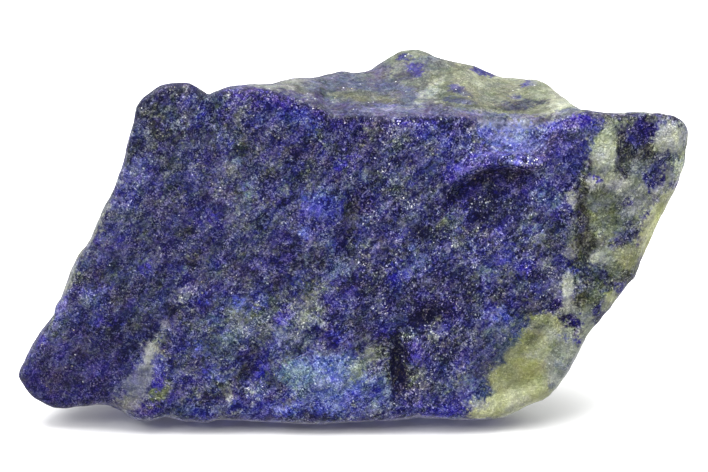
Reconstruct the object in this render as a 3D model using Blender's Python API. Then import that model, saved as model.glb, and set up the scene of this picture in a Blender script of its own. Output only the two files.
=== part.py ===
"""Rough lazurite with calcite matrix: one natural stone standing on its long lower edge.

Everything is designed in millimetres in a frame where x runs to the right, y runs away from
the viewer and z is up, with z = 0 at the small flat spot that the stone rests on. The stone is
one implicit form, body(p) < 0 inside. An icosphere is stretched over it and relaxed.

The outline is drawn as it is seen from the front and a little above. It is in drawing units of
1/12 mm on a sheet 708 wide and 472 high, whose centre lies on the middle of the front face.
"""

import math

import bmesh
import bpy
import numpy as np

# ---------------------------------------------------------------- driving dimensions
UNITS_PER_MM = 12.0          # drawing units in a millimetre, at the middle of the front face
SHEET_MIDDLE = (354.0, 236.0)
SIGHT_ELEVATION = 22.0       # degrees above the horizontal from which the outline is drawn
SIGHT_DISTANCE = 250.0       # mm from the middle of the front face
MIDDLE_HEIGHT = 18.0         # mm, height of the middle of the front face over the resting spot
FACE_LEAN = 0.07             # the front face leans back by this slope
EDGE_RADIUS = 1.0            # mm, blend where the broken faces meet
BACK_DEPTH = 6.6             # mm, from the front face to the middle of the stone's depth
SUBDIVISIONS = 5             # icosphere level: 5120 triangles
RELAX_ROUNDS = 8

# Outline of the stone in drawing units, clockwise from the upper left.
OUTLINE = [
    (136, 112), (139, 104), (144, 98), (152, 91), (166, 84), (176, 83), (189, 83), (195, 86),
    (203, 91), (208, 96), (215, 92), (223, 87), (232, 86), (246, 85), (262, 85), (278, 83),
    (288, 79), (300, 78), (315, 78), (325, 74), (343, 71), (355, 73), (371, 72), (378, 65),
    (388, 59), (401, 51), (415, 49), (425, 52), (438, 59), (453, 62), (472, 66), (478, 68),
    (489, 73), (499, 78), (515, 79), (528, 79), (542, 81), (552, 89), (565, 99), (577, 109),
    (588, 111), (599, 113), (615, 114), (626, 113), (644, 111), (651, 114), (658, 112),
    (669, 114), (676, 116), (683, 121), (687, 128), (688, 137), (686, 149), (685, 162),
    (681, 173), (676, 184), (672, 195), (660, 217), (645, 250), (636, 270), (636, 277),
    (631, 283), (619, 296), (603, 315), (590, 331), (582, 345), (575, 357), (567, 372),
    (555, 387), (546, 398), (529, 404), (511, 414), (495, 419), (465, 419), (456, 419),
    (433, 417), (416, 416), (405, 418), (388, 420), (353, 421), (324, 423), (307, 424),
    (290, 422), (262, 421), (241, 420), (230, 419), (215, 419), (206, 422), (187, 421),
    (174, 418), (164, 416), (156, 419), (147, 420), (137, 420), (129, 414), (119, 409),
    (111, 405), (103, 403), (93, 404), (81, 406), (67, 409), (49, 409), (39, 402), (33, 398),
    (24, 387), (18, 377), (20, 371), (25, 363), (27, 355), (33, 345), (43, 328), (54, 317),
    (57, 306), (62, 299), (70, 275), (76, 260), (78, 257), (89, 243), (98, 223), (104, 207),
    (112, 196), (118, 180), (124, 167), (127, 150), (128, 144), (131, 132), (135, 120),
]

# Upper edge of the front face, and the depth and height of the stone's crest behind it:
# across, front edge down the sheet, crest down the sheet, crest depth in mm, rise power.
TOP = [
    (110, 110, 96, 1.8, 1.0), (136, 101, 96, 2.0, 1.0), (166, 87, 80, 2.2, 1.0),
    (189, 86, 79, 2.4, 1.0), (208, 99, 94, 2.4, 1.0), (215, 94, 90, 2.8, 1.0),
    (232, 89, 85, 3.2, 1.0), (255, 89, 84, 4.0, 1.0), (275, 93, 82, 5.0, 1.0),
    (300, 101, 77, 6.6, 1.1), (317, 106, 76, 7.6, 1.2), (327, 116, 73, 8.4, 1.3),
    (355, 115, 72, 9.8, 1.3), (378, 118, 65, 10.6, 1.9), (401, 117, 50, 11.0, 2.6),
    (425, 117, 51, 11.0, 2.6), (453, 117, 61, 10.8, 1.9), (472, 120, 65, 10.8, 1.4),
    (490, 127, 73, 10.8, 1.2), (515, 129, 78, 10.8, 1.1), (530, 129, 78, 10.4, 1.1),
    (544, 127, 82, 9.8, 1.0), (559, 120, 94, 7.8, 1.0), (577, 114, 108, 4.2, 1.0),
    (590, 113, 110, 2.6, 1.0), (626, 116, 112, 2.4, 1.0), (655, 116, 112, 2.4, 1.0),
    (690, 124, 118, 2.2, 1.0),
]

# Broken faces of the sides and the back: a point in mm and the way the face looks.
BREAKS = [
    ((2.0, 14.6, 18.0), (0.04, 1.00, -0.10)),      # broad back
    ((-3.0, 12.0, 5.0), (-0.10, 0.86, -0.50)),     # back, low
    ((-15.0, 9.6, 26.0), (-0.36, 0.72, 0.60)),     # back, upper left
    ((19.5, 10.2, 26.5), (0.46, 0.80, 0.38)),      # back, upper right
    ((-25.5, 7.5, 10.0), (-0.70, 0.70, -0.12)),    # left end
    ((15.5, 9.6, 10.0), (0.62, 0.66, -0.42)),      # right end, low
    ((-16.0, 6.0, 0.1), (-0.30, 0.35, -0.89)),     # under the left lobe
    ((27.5, 7.5, 24.0), (0.92, 0.38, -0.05)),      # right tip
]

# The same outline as it is further back in the stone, where the sides draw in and its corners are gone.
BACK_OUTLINE = [
    (146, 122), (172, 98), (235, 96), (330, 84), (405, 62), (480, 78), (540, 92), (592, 124),
    (655, 126), (670, 150), (640, 236), (596, 302), (552, 372), (518, 394), (420, 410),
    (250, 414), (150, 410), (96, 392), (50, 396), (32, 372), (62, 318), (94, 250), (124, 190),
]

# Swellings (+) and hollows (-) of the front face, in drawing units and mm:
# across, down, half width, half height, turn in degrees, how far it stands proud.
RELIEF = [
    (211, 120, 7, 26, 0, -0.55), (172, 150, 34, 50, 10, 0.35), (255, 130, 30, 34, 0, 0.30),
    (320, 208, 24, 22, 0, 0.35), (352, 240, 12, 46, 8, -0.35), (330, 150, 6, 34, 22, 0.25),
    (512, 128, 44, 17, 0, -1.70), (510, 163, 38, 7, -8, 0.55), (500, 196, 34, 26, -10, -0.95),
    (460, 200, 14, 16, 0, -0.35), (436, 318, 16, 14, 0, -0.30), (399, 367, 6, 34, 0, -0.35),
    (420, 350, 9, 14, 0, 0.25), (575, 125, 26, 12, 0, -0.50), (540, 245, 40, 40, 0, 0.30),
    (600, 170, 18, 24, 10, 0.25), (585, 250, 14, 40, 12, -0.30), (520, 375, 46, 30, -38, -0.55),
    (130, 222, 12, 40, 20, 0.20), (60, 372, 40, 30, 0, 0.30), (147, 368, 9, 44, -25, -0.30),
    (322, 380, 44, 28, 0, 0.30), (255, 365, 10, 22, 0, -0.20), (300, 300, 22, 26, 0, -0.20),
]

# ---------------------------------------------------------------- sight lines
FOCAL = UNITS_PER_MM * SIGHT_DISTANCE
RISE = math.radians(SIGHT_ELEVATION)
AHEAD = np.array([0.0, math.cos(RISE), -math.sin(RISE)])
UPWARD = np.array([0.0, math.sin(RISE), math.cos(RISE)])
MIDDLE = np.array([0.0, 0.0, MIDDLE_HEIGHT])
EYE = MIDDLE - SIGHT_DISTANCE * AHEAD


def on_sheet(p):
    """Where points lie on the drawing sheet."""
    rel = p - EYE
    far = rel @ AHEAD
    return SHEET_MIDDLE[0] + FOCAL * rel[..., 0] / far, SHEET_MIDDLE[1] - FOCAL * (rel @ UPWARD) / far


def height_at(down, depth):
    """Height of the point that is drawn at that level of the sheet and lies at that depth."""
    k = (SHEET_MIDDLE[1] - down) / FOCAL
    dy = AHEAD[1] + k * UPWARD[1]
    dz = AHEAD[2] + k * UPWARD[2]
    return EYE[2] + (depth - EYE[1]) / dy * dz


# ---------------------------------------------------------------- noise
GRADIENTS = np.array(
    [(1, 1, 0), (-1, 1, 0), (1, -1, 0), (-1, -1, 0), (1, 0, 1), (-1, 0, 1), (1, 0, -1), (-1, 0, -1),
     (0, 1, 1), (0, -1, 1), (0, 1, -1), (0, -1, -1), (1, 1, 0), (-1, 1, 0), (0, -1, 1), (0, -1, -1)],
    dtype=np.float64,
)


def scramble(ix, iy, iz, seed):
    h = (
        ix.astype(np.uint32) * np.uint32(374761393)
        + iy.astype(np.uint32) * np.uint32(668265263)
        + iz.astype(np.uint32) * np.uint32(2246822519)
        + np.uint32(seed * 40503 + 977)
    )
    h ^= h >> np.uint32(15)
    h *= np.uint32(2246822519)
    h ^= h >> np.uint32(13)
    h *= np.uint32(3266489917)
    h ^= h >> np.uint32(16)
    return h


def noise(p, size, seed):
    """Gradient noise, about -1 to 1, with features of that size in mm."""
    q = p / size
    cell = np.floor(q).astype(np.int64)
    f = q - cell
    w = f * f * f * (f * (f * 6 - 15) + 10)
    total = np.zeros(len(p))
    for dx in (0, 1):
        for dy in (0, 1):
            for dz in (0, 1):
                g = GRADIENTS[scramble(cell[:, 0] + dx, cell[:, 1] + dy, cell[:, 2] + dz, seed) & np.uint32(15)]
                corner = (g * (f - (dx, dy, dz))).sum(axis=1)
                weight = (
                    (w[:, 0] if dx else 1 - w[:, 0])
                    * (w[:, 1] if dy else 1 - w[:, 1])
                    * (w[:, 2] if dz else 1 - w[:, 2])
                )
                total += corner * weight
    return total


# ---------------------------------------------------------------- form
def larger(a, b, blend):
    """The larger of two fields, rounded over where they meet."""
    h = np.maximum(blend - np.abs(a - b), 0) / blend
    return np.maximum(a, b) + h * h * blend * 0.25


def softened(points):
    """Closed outline with its corners cut once."""
    p = np.array(points, dtype=np.float64)
    q = np.roll(p, -1, axis=0)
    return np.stack([p * 0.75 + q * 0.25, p * 0.25 + q * 0.75], axis=1).reshape(-1, 2)


def beyond(a, b, ring):
    """Signed distance from a closed outline on the sheet, positive outside it."""
    start, step = ring, np.roll(ring, -1, axis=0) - ring
    nearest = np.full(len(a), 1e9)
    inside = np.zeros(len(a), dtype=bool)
    for (x0, y0), (dx, dy) in zip(start, step):
        t = np.clip(((a - x0) * dx + (b - y0) * dy) / (dx * dx + dy * dy + 1e-12), 0, 1)
        nearest = np.minimum(nearest, (a - x0 - t * dx) ** 2 + (b - y0 - t * dy) ** 2)
        if dy:
            crosses = ((y0 <= b) != (y0 + dy <= b)) & (a < x0 + (b - y0) / dy * dx)
            inside ^= crosses
    return np.sqrt(nearest) * np.where(inside, -1, 1)


RING = softened(OUTLINE)
BACK_RING = softened(softened(BACK_OUTLINE))
TOP_TABLE = np.array(TOP, dtype=np.float64).T


def front_depth(p, a, b):
    """Depth of the front face, with its large swellings and hollows."""
    x = p[:, 0]
    depth = FACE_LEAN * (p[:, 2] - MIDDLE_HEIGHT)
    depth = depth + 0.012 * np.minimum(x + 17, 0) ** 2 + 0.020 * np.maximum(x - 18, 0) ** 2
    for u, v, ru, rv, turn, proud in RELIEF:
        c, s = math.cos(math.radians(turn)), math.sin(math.radians(turn))
        da, db = a - u, b - v
        r2 = ((da * c + db * s) / ru) ** 2 + ((-da * s + db * c) / rv) ** 2
        depth = depth - proud * np.exp(-r2)
    return depth


def eased(t):
    t = np.clip(t, 0, 1)
    return t * t * (3 - 2 * t)


def top_height(p, a):
    """Height of the top surface, which runs back from the front edge to the crest, then falls."""
    a = a + 9.0 * noise(p, 5.0, 41) * eased((p[:, 1] - 1.0) / 4.0)
    edge_down, crest_down, crest_depth, power = (np.interp(a, TOP_TABLE[0], TOP_TABLE[k]) for k in (1, 2, 3, 4))
    edge_depth = np.full(len(p), 0.6)
    edge_height = height_at(edge_down, edge_depth)
    crest_height = height_at(crest_down, crest_depth) + 0.45
    s = (p[:, 1] - edge_depth) / (crest_depth - edge_depth)
    inner = np.clip(s, 0, 1)
    height = edge_height + (crest_height - edge_height) * inner**power
    past = np.maximum(p[:, 1] - crest_depth, 0)
    height = height - 0.50 * past - 0.05 * past * past
    # behind the front edge's own ups and downs the top is one broad slope
    broad = 30.2 - 0.085 * np.abs(p[:, 0] + 4.0) - 0.050 * np.maximum(p[:, 1] - 2.0, 0) * np.abs(p[:, 0] - 5.0) ** 0.9
    mix = eased((p[:, 1] - crest_depth - 0.4) / 3.0)
    return height + mix * (broad - height)


def body(p):
    """The stone: negative inside, positive outside, near its surface about the distance in mm."""
    p = np.asarray(p, dtype=np.float64)
    a, b = on_sheet(p)
    face = front_depth(p, a, b)
    behind = p[:, 1] - face
    rough = 0.34 * noise(p, 9.0, 11) + 0.20 * noise(p, 4.4, 12) + 0.10 * noise(p, 2.3, 13)
    back_rough = 0.9 * noise(p, 10.0, 21) + 0.45 * noise(p, 5.0, 22) + 0.2 * noise(p, 2.6, 23)
    front = -behind + 0.6 * rough
    top = (p[:, 2] - top_height(p, a)) * 0.94 + 0.5 * rough
    d = larger(front, top, EDGE_RADIUS)

    crest = np.interp(a, TOP_TABLE[0], TOP_TABLE[3])
    high = eased((250 - b) / 130)
    widest = 2.2 + high * (crest - 2.2)
    deeper = eased((behind - widest) / 3.2)
    nearer = np.clip((widest - behind) / 2.4, 0, 1) ** 2 * (1 - high)
    side = beyond(a, b, RING)
    side = (side + deeper * (beyond(a, b, BACK_RING) - side)) / UNITS_PER_MM
    side = side + deeper * (0.9 * np.abs(noise(p, 6.0, 31)) + 0.35 * noise(p, 2.8, 32))
    side = side - 0.07 + nearer * (0.20 + 0.45 * eased((a - 560) / 60))
    d = larger(d, side, 0.7)

    back = np.full(len(p), -1e3)
    for point, way in BREAKS:
        n = np.array(way) / np.linalg.norm(way)
        back = larger(back, (p - point) @ n, 1.6)
    d = larger(d, back + back_rough, 1.4)

    # a small knob under the lower front edge, left of the middle, which also meets the ground
    knob = (np.linalg.norm((p - (-7.7, 2.6, 1.3)) / (1.6, 1.9, 1.5), axis=1) - 1) * 1.5
    d = np.minimum(d, knob)
    return larger(d, -p[:, 2], 0.4)


def uphill(p, d, step=0.02):
    g = np.stack([body(p + step * axis) - d for axis in np.eye(3)], axis=1) / step
    return g


def settle(p, rounds):
    """Moves points onto the surface along the field's slope."""
    for _ in range(rounds):
        d = body(p)
        g = uphill(p, d)
        p = p - np.clip(d / np.maximum((g * g).sum(axis=1), 0.2), -1.0, 1.0)[:, None] * g
    return p


# ---------------------------------------------------------------- scene
def clear_scene():
    for obj in list(bpy.data.objects):
        bpy.data.objects.remove(obj, do_unlink=True)
    for mesh in list(bpy.data.meshes):
        bpy.data.meshes.remove(mesh)


def stone_material():
    mat = bpy.data.materials.new("lazurite")
    mat.use_nodes = True
    bsdf = mat.node_tree.nodes["Principled BSDF"]
    bsdf.inputs["Base Color"].default_value = (0.035, 0.035, 0.22, 1.0)
    bsdf.inputs["Roughness"].default_value = 0.55
    bsdf.inputs["Metallic"].default_value = 0.0
    mat.diffuse_color = (0.035, 0.035, 0.22, 1.0)
    return mat


def build():
    clear_scene()
    collection = bpy.data.collections.new("lazurite_crystal")
    bpy.context.scene.collection.children.link(collection)

    bm = bmesh.new()
    bmesh.ops.create_icosphere(bm, subdivisions=SUBDIVISIONS, radius=1.0)
    bm.verts.ensure_lookup_table()
    unit = np.array([v.co[:] for v in bm.verts])
    unit /= np.linalg.norm(unit, axis=1)[:, None]

    # each point leaves a small inner slab and goes out until it meets the surface
    lean = 0.36
    start = np.array([0.5, BACK_DEPTH, 16.0]) + unit * (15.0, 1.5, 6.0)
    start[:, 0] += lean * (start[:, 2] - 16.0)
    way = unit * (1.0, 0.75, 0.9)
    way /= np.linalg.norm(way, axis=1)[:, None]
    reach = np.zeros(len(unit))
    for _ in range(90):
        d = body(start + way * reach[:, None])
        reach = reach + np.clip(-d * 0.6, -0.5, 2.0)
    p = settle(start + way * reach[:, None], 3)

    neighbours = [[e.other_vert(v).index for e in v.link_edges] for v in bm.verts]
    count = np.array([len(n) for n in neighbours])
    flat = np.concatenate([np.array(n) for n in neighbours])
    owner = np.repeat(np.arange(len(neighbours)), count)
    for _ in range(RELAX_ROUNDS):
        mean = np.stack([np.bincount(owner, p[flat, k], len(p)) for k in range(3)], axis=1) / count[:, None]
        p = settle(p + 0.5 * (mean - p), 1)
    p = settle(p, 3)
    p[:, 2] = np.where(p[:, 2] < 0.03, 0.0, p[:, 2])

    low, high = p.min(axis=0), p.max(axis=0)
    p[:, :2] -= (low[:2] + high[:2]) / 2
    for v, co in zip(bm.verts, p * 0.001):
        v.co = co
    bmesh.ops.recalc_face_normals(bm, faces=bm.faces)

    mesh = bpy.data.meshes.new("lazurite_crystal")
    bm.to_mesh(mesh)
    bm.free()
    mesh.shade_smooth()
    mesh.set_sharp_from_angle(angle=math.radians(35))
    mesh.materials.append(stone_material())
    obj = bpy.data.objects.new("lazurite_crystal", mesh)
    collection.objects.link(obj)
    return obj, low, high


stone, lowest, highest = build()
print("design box, mm:", np.round(lowest, 2), np.round(highest, 2))
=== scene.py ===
"""Looks of a rough lazurite with calcite matrix: one natural stone on a small flat spot.

The form is the same implicit stone as the solid's, in the same drawing units, meshed finely and
given its broken relief. The minerals are painted on it in strokes, each a named colour at a
place, with painted light, shade, sheen and glints in places, and the grain of each mineral comes from the material's
nodes.
"""

import math

import bpy
import numpy as np
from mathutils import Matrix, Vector


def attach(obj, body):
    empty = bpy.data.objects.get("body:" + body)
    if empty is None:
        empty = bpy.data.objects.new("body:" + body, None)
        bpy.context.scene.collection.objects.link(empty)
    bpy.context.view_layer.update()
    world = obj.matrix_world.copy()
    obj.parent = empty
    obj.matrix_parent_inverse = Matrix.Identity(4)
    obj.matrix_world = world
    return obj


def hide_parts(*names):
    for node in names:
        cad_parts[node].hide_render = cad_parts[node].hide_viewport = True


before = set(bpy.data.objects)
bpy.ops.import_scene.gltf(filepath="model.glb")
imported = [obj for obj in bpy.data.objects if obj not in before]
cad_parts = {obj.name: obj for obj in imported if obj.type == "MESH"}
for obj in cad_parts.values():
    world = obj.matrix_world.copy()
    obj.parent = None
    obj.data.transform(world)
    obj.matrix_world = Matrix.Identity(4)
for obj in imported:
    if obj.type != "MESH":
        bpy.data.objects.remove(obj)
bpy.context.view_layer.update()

# ---------------------------------------------------------------- dimensions, as in the solid
UNITS_PER_MM = 12.0          # drawing units in a millimetre, at the middle of the front face
SHEET_MIDDLE = (354.0, 236.0)
SIGHT_ELEVATION = 22.0
SIGHT_DISTANCE = 250.0
MIDDLE_HEIGHT = 18.0
FACE_LEAN = 0.07
EDGE_RADIUS = 1.0
STONE_MIDDLE = (-0.315, 7.170, 0.0)   # middle of the stone in the design frame, mm
CELL = 0.24   # mm, spacing of the fine mesh

OUTLINE = [
    (136, 112), (139, 104), (144, 98), (152, 91), (166, 84), (176, 83), (189, 83), (195, 86),
    (203, 91), (208, 96), (215, 92), (223, 87), (232, 86), (246, 85), (262, 85), (278, 83),
    (288, 79), (300, 78), (315, 78), (325, 74), (343, 71), (355, 73), (371, 72), (378, 65),
    (388, 59), (401, 51), (415, 49), (425, 52), (438, 59), (453, 62), (472, 66), (478, 68),
    (489, 73), (499, 78), (515, 79), (528, 79), (542, 81), (552, 89), (565, 99), (577, 109),
    (588, 111), (599, 113), (615, 114), (626, 113), (644, 111), (651, 114), (658, 112),
    (669, 114), (676, 116), (683, 121), (687, 128), (688, 137), (686, 149), (685, 162),
    (681, 173), (676, 184), (672, 195), (660, 217), (645, 250), (636, 270), (636, 277),
    (631, 283), (619, 296), (603, 315), (590, 331), (582, 345), (575, 357), (567, 372),
    (555, 387), (546, 398), (529, 404), (511, 414), (495, 419), (465, 419), (456, 419),
    (433, 417), (416, 416), (405, 418), (388, 420), (353, 421), (324, 423), (307, 424),
    (290, 422), (262, 421), (241, 420), (230, 419), (215, 419), (206, 422), (187, 421),
    (174, 418), (164, 416), (156, 419), (147, 420), (137, 420), (129, 414), (119, 409),
    (111, 405), (103, 403), (93, 404), (81, 406), (67, 409), (49, 409), (39, 402), (33, 398),
    (24, 387), (18, 377), (20, 371), (25, 363), (27, 355), (33, 345), (43, 328), (54, 317),
    (57, 306), (62, 299), (70, 275), (76, 260), (78, 257), (89, 243), (98, 223), (104, 207),
    (112, 196), (118, 180), (124, 167), (127, 150), (128, 144), (131, 132), (135, 120),
]

TOP = [
    (110, 110, 96, 1.8, 1.0), (136, 101, 96, 2.0, 1.0), (166, 87, 80, 2.2, 1.0),
    (189, 86, 79, 2.4, 1.0), (208, 99, 94, 2.4, 1.0), (215, 94, 90, 2.8, 1.0),
    (232, 89, 85, 3.2, 1.0), (255, 89, 84, 4.0, 1.0), (275, 93, 82, 5.0, 1.0),
    (300, 101, 77, 6.6, 1.1), (317, 106, 76, 7.6, 1.2), (327, 116, 73, 8.4, 1.3),
    (355, 115, 72, 9.8, 1.3), (378, 118, 65, 10.6, 1.9), (401, 117, 50, 11.0, 2.6),
    (425, 117, 51, 11.0, 2.6), (453, 117, 61, 10.8, 1.9), (472, 120, 65, 10.8, 1.4),
    (490, 127, 73, 10.8, 1.2), (515, 129, 78, 10.8, 1.1), (530, 129, 78, 10.4, 1.1),
    (544, 127, 82, 9.8, 1.0), (559, 120, 94, 7.8, 1.0), (577, 114, 108, 4.2, 1.0),
    (590, 113, 110, 2.6, 1.0), (626, 116, 112, 2.4, 1.0), (655, 116, 112, 2.4, 1.0),
    (690, 124, 118, 2.2, 1.0),
]

BREAKS = [
    ((2.0, 14.6, 18.0), (0.04, 1.00, -0.10)),      # broad back
    ((-3.0, 12.0, 5.0), (-0.10, 0.86, -0.50)),     # back, low
    ((-15.0, 9.6, 26.0), (-0.36, 0.72, 0.60)),     # back, upper left
    ((19.5, 10.2, 26.5), (0.46, 0.80, 0.38)),      # back, upper right
    ((-25.5, 7.5, 10.0), (-0.70, 0.70, -0.12)),    # left end
    ((15.5, 9.6, 10.0), (0.62, 0.66, -0.42)),      # right end, low
    ((-16.0, 6.0, 0.1), (-0.30, 0.35, -0.89)),     # under the left lobe
    ((27.5, 7.5, 24.0), (0.92, 0.38, -0.05)),      # right tip
]

BACK_OUTLINE = [
    (146, 122), (172, 98), (235, 96), (330, 84), (405, 62), (480, 78), (540, 92), (592, 124),
    (655, 126), (670, 150), (640, 236), (596, 302), (552, 372), (518, 394), (420, 410),
    (250, 414), (150, 410), (96, 392), (50, 396), (32, 372), (62, 318), (94, 250), (124, 190),
]

# Swellings (+) and hollows (-) of the front face: across, down, half width, half height, turn
# in degrees, how far it stands proud in mm.
RELIEF = [
    (211, 120, 7, 26, 0, -0.55), (172, 150, 34, 50, 10, 0.35), (255, 130, 30, 34, 0, 0.30),
    (320, 208, 24, 22, 0, 0.35), (352, 240, 12, 46, 8, -0.35), (330, 150, 6, 34, 22, 0.25),
    (512, 128, 44, 17, 0, -1.70), (510, 163, 38, 7, -8, 0.50), (500, 196, 34, 26, -10, -0.75),
    (460, 200, 14, 16, 0, -0.35), (436, 318, 16, 14, 0, -0.30), (399, 367, 6, 34, 0, -0.35),
    (420, 350, 9, 14, 0, 0.25), (575, 125, 26, 12, 0, -0.50), (540, 245, 40, 40, 0, 0.30),
    (600, 170, 18, 24, 10, 0.25), (585, 250, 14, 40, 12, -0.30), (520, 375, 46, 30, -38, -0.55),
    (130, 222, 12, 40, 20, 0.20), (60, 372, 40, 30, 0, 0.30), (147, 368, 9, 44, -25, -0.30),
    (322, 380, 44, 28, 0, 0.30), (255, 365, 10, 22, 0, -0.20), (300, 300, 22, 26, 0, -0.20),
]

# ---------------------------------------------------------------- sight lines
FOCAL = UNITS_PER_MM * SIGHT_DISTANCE
RISE = math.radians(SIGHT_ELEVATION)
AHEAD = np.array([0.0, math.cos(RISE), -math.sin(RISE)])
UPWARD = np.array([0.0, math.sin(RISE), math.cos(RISE)])
MIDDLE = np.array([0.0, 0.0, MIDDLE_HEIGHT])
EYE = MIDDLE - SIGHT_DISTANCE * AHEAD


def on_sheet(p):
    """Where points lie on the drawing sheet."""
    rel = p - EYE
    far = rel @ AHEAD
    return SHEET_MIDDLE[0] + FOCAL * rel[..., 0] / far, SHEET_MIDDLE[1] - FOCAL * (rel @ UPWARD) / far


def height_at(down, depth):
    """Height of the point that is drawn at that level of the sheet and lies at that depth."""
    k = (SHEET_MIDDLE[1] - down) / FOCAL
    dy = AHEAD[1] + k * UPWARD[1]
    dz = AHEAD[2] + k * UPWARD[2]
    return EYE[2] + (depth - EYE[1]) / dy * dz


# ---------------------------------------------------------------- noise
GRADIENTS = np.array(
    [(1, 1, 0), (-1, 1, 0), (1, -1, 0), (-1, -1, 0), (1, 0, 1), (-1, 0, 1), (1, 0, -1), (-1, 0, -1),
     (0, 1, 1), (0, -1, 1), (0, 1, -1), (0, -1, -1), (1, 1, 0), (-1, 1, 0), (0, -1, 1), (0, -1, -1)],
    dtype=np.float64,
)


def scramble(ix, iy, iz, seed):
    h = (
        ix.astype(np.uint32) * np.uint32(374761393)
        + iy.astype(np.uint32) * np.uint32(668265263)
        + iz.astype(np.uint32) * np.uint32(2246822519)
        + np.uint32(seed * 40503 + 977)
    )
    h ^= h >> np.uint32(15)
    h *= np.uint32(2246822519)
    h ^= h >> np.uint32(13)
    h *= np.uint32(3266489917)
    h ^= h >> np.uint32(16)
    return h


def noise(p, size, seed):
    """Gradient noise, about -1 to 1, with features of that size in mm."""
    q = p / size
    cell = np.floor(q).astype(np.int64)
    f = q - cell
    w = f * f * f * (f * (f * 6 - 15) + 10)
    total = np.zeros(len(p))
    for dx in (0, 1):
        for dy in (0, 1):
            for dz in (0, 1):
                g = GRADIENTS[scramble(cell[:, 0] + dx, cell[:, 1] + dy, cell[:, 2] + dz, seed) & np.uint32(15)]
                corner = (g * (f - (dx, dy, dz))).sum(axis=1)
                weight = (
                    (w[:, 0] if dx else 1 - w[:, 0])
                    * (w[:, 1] if dy else 1 - w[:, 1])
                    * (w[:, 2] if dz else 1 - w[:, 2])
                )
                total += corner * weight
    return total


def part_of(h, k):
    """A number from 0 to 1 out of a scrambled one."""
    return ((h * np.uint32(2 * k + 1) + np.uint32(k * 7919)) >> np.uint32(8)).astype(np.float64) / 16777216.0


def chips(p, size, seed, bowl=0.6):
    """Scalloped chips: small tilted bowls of that size in mm that meet in sharp ridges."""
    q = p / size
    cell = np.floor(q).astype(np.int64)
    best = np.full(len(p), 9.0)
    for dx in (-1, 0, 1):
        for dy in (-1, 0, 1):
            for dz in (-1, 0, 1):
                h = scramble(cell[:, 0] + dx, cell[:, 1] + dy, cell[:, 2] + dz, seed)
                gap = q - cell - (dx, dy, dz) - np.stack([part_of(h, k) for k in (1, 2, 3)], axis=1)
                tilt = np.stack([part_of(h, k) for k in (4, 5, 6)], axis=1) * 1.5 - 0.75
                value = bowl * (gap * gap).sum(axis=1) + (gap * tilt).sum(axis=1) + 0.35 * part_of(h, 7)
                best = np.minimum(best, value)
    return best


# ---------------------------------------------------------------- form
def larger(a, b, blend):
    """The larger of two fields, rounded over where they meet."""
    h = np.maximum(blend - np.abs(a - b), 0) / blend
    return np.maximum(a, b) + h * h * blend * 0.25


def eased(t):
    t = np.clip(t, 0, 1)
    return t * t * (3 - 2 * t)


def softened(points):
    """Closed outline with its corners cut once."""
    p = np.array(points, dtype=np.float64)
    q = np.roll(p, -1, axis=0)
    return np.stack([p * 0.75 + q * 0.25, p * 0.25 + q * 0.75], axis=1).reshape(-1, 2)


def outline_table(ring, pitch=2.0, low=(-40.0, -20.0), size=(396, 266)):
    """Signed distance from a closed outline at a lattice of places on the sheet, positive outside."""
    a, b = np.meshgrid(low[0] + pitch * np.arange(size[0]), low[1] + pitch * np.arange(size[1]), indexing="ij")
    nearest = np.full(a.shape, 1e9)
    inside = np.zeros(a.shape, dtype=bool)
    for (x0, y0), (dx, dy) in zip(ring, np.roll(ring, -1, axis=0) - ring):
        t = np.clip(((a - x0) * dx + (b - y0) * dy) / (dx * dx + dy * dy + 1e-12), 0, 1)
        nearest = np.minimum(nearest, (a - x0 - t * dx) ** 2 + (b - y0 - t * dy) ** 2)
        if dy:
            inside ^= ((y0 <= b) != (y0 + dy <= b)) & (a < x0 + (b - y0) / dy * dx)
    return np.sqrt(nearest) * np.where(inside, -1, 1), low, pitch


def beyond(a, b, table):
    grid, low, pitch = table
    x = np.clip((a - low[0]) / pitch, 0, grid.shape[0] - 1.001)
    y = np.clip((b - low[1]) / pitch, 0, grid.shape[1] - 1.001)
    i, j = x.astype(int), y.astype(int)
    fx, fy = x - i, y - j
    return (
        grid[i, j] * (1 - fx) * (1 - fy) + grid[i + 1, j] * fx * (1 - fy)
        + grid[i, j + 1] * (1 - fx) * fy + grid[i + 1, j + 1] * fx * fy
    )


RING = outline_table(softened(OUTLINE))
BACK_RING = outline_table(softened(softened(BACK_OUTLINE)))
TOP_TABLE = np.array(TOP, dtype=np.float64).T


def front_depth(p, a, b):
    """Depth of the front face, with its large swellings and hollows."""
    x = p[:, 0]
    depth = FACE_LEAN * (p[:, 2] - MIDDLE_HEIGHT)
    depth = depth + 0.012 * np.minimum(x + 17, 0) ** 2 + 0.020 * np.maximum(x - 18, 0) ** 2
    for u, v, ru, rv, turn, proud in RELIEF:
        c, s = math.cos(math.radians(turn)), math.sin(math.radians(turn))
        da, db = a - u, b - v
        r2 = ((da * c + db * s) / ru) ** 2 + ((-da * s + db * c) / rv) ** 2
        depth = depth - proud * np.exp(-r2)
    return depth


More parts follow.
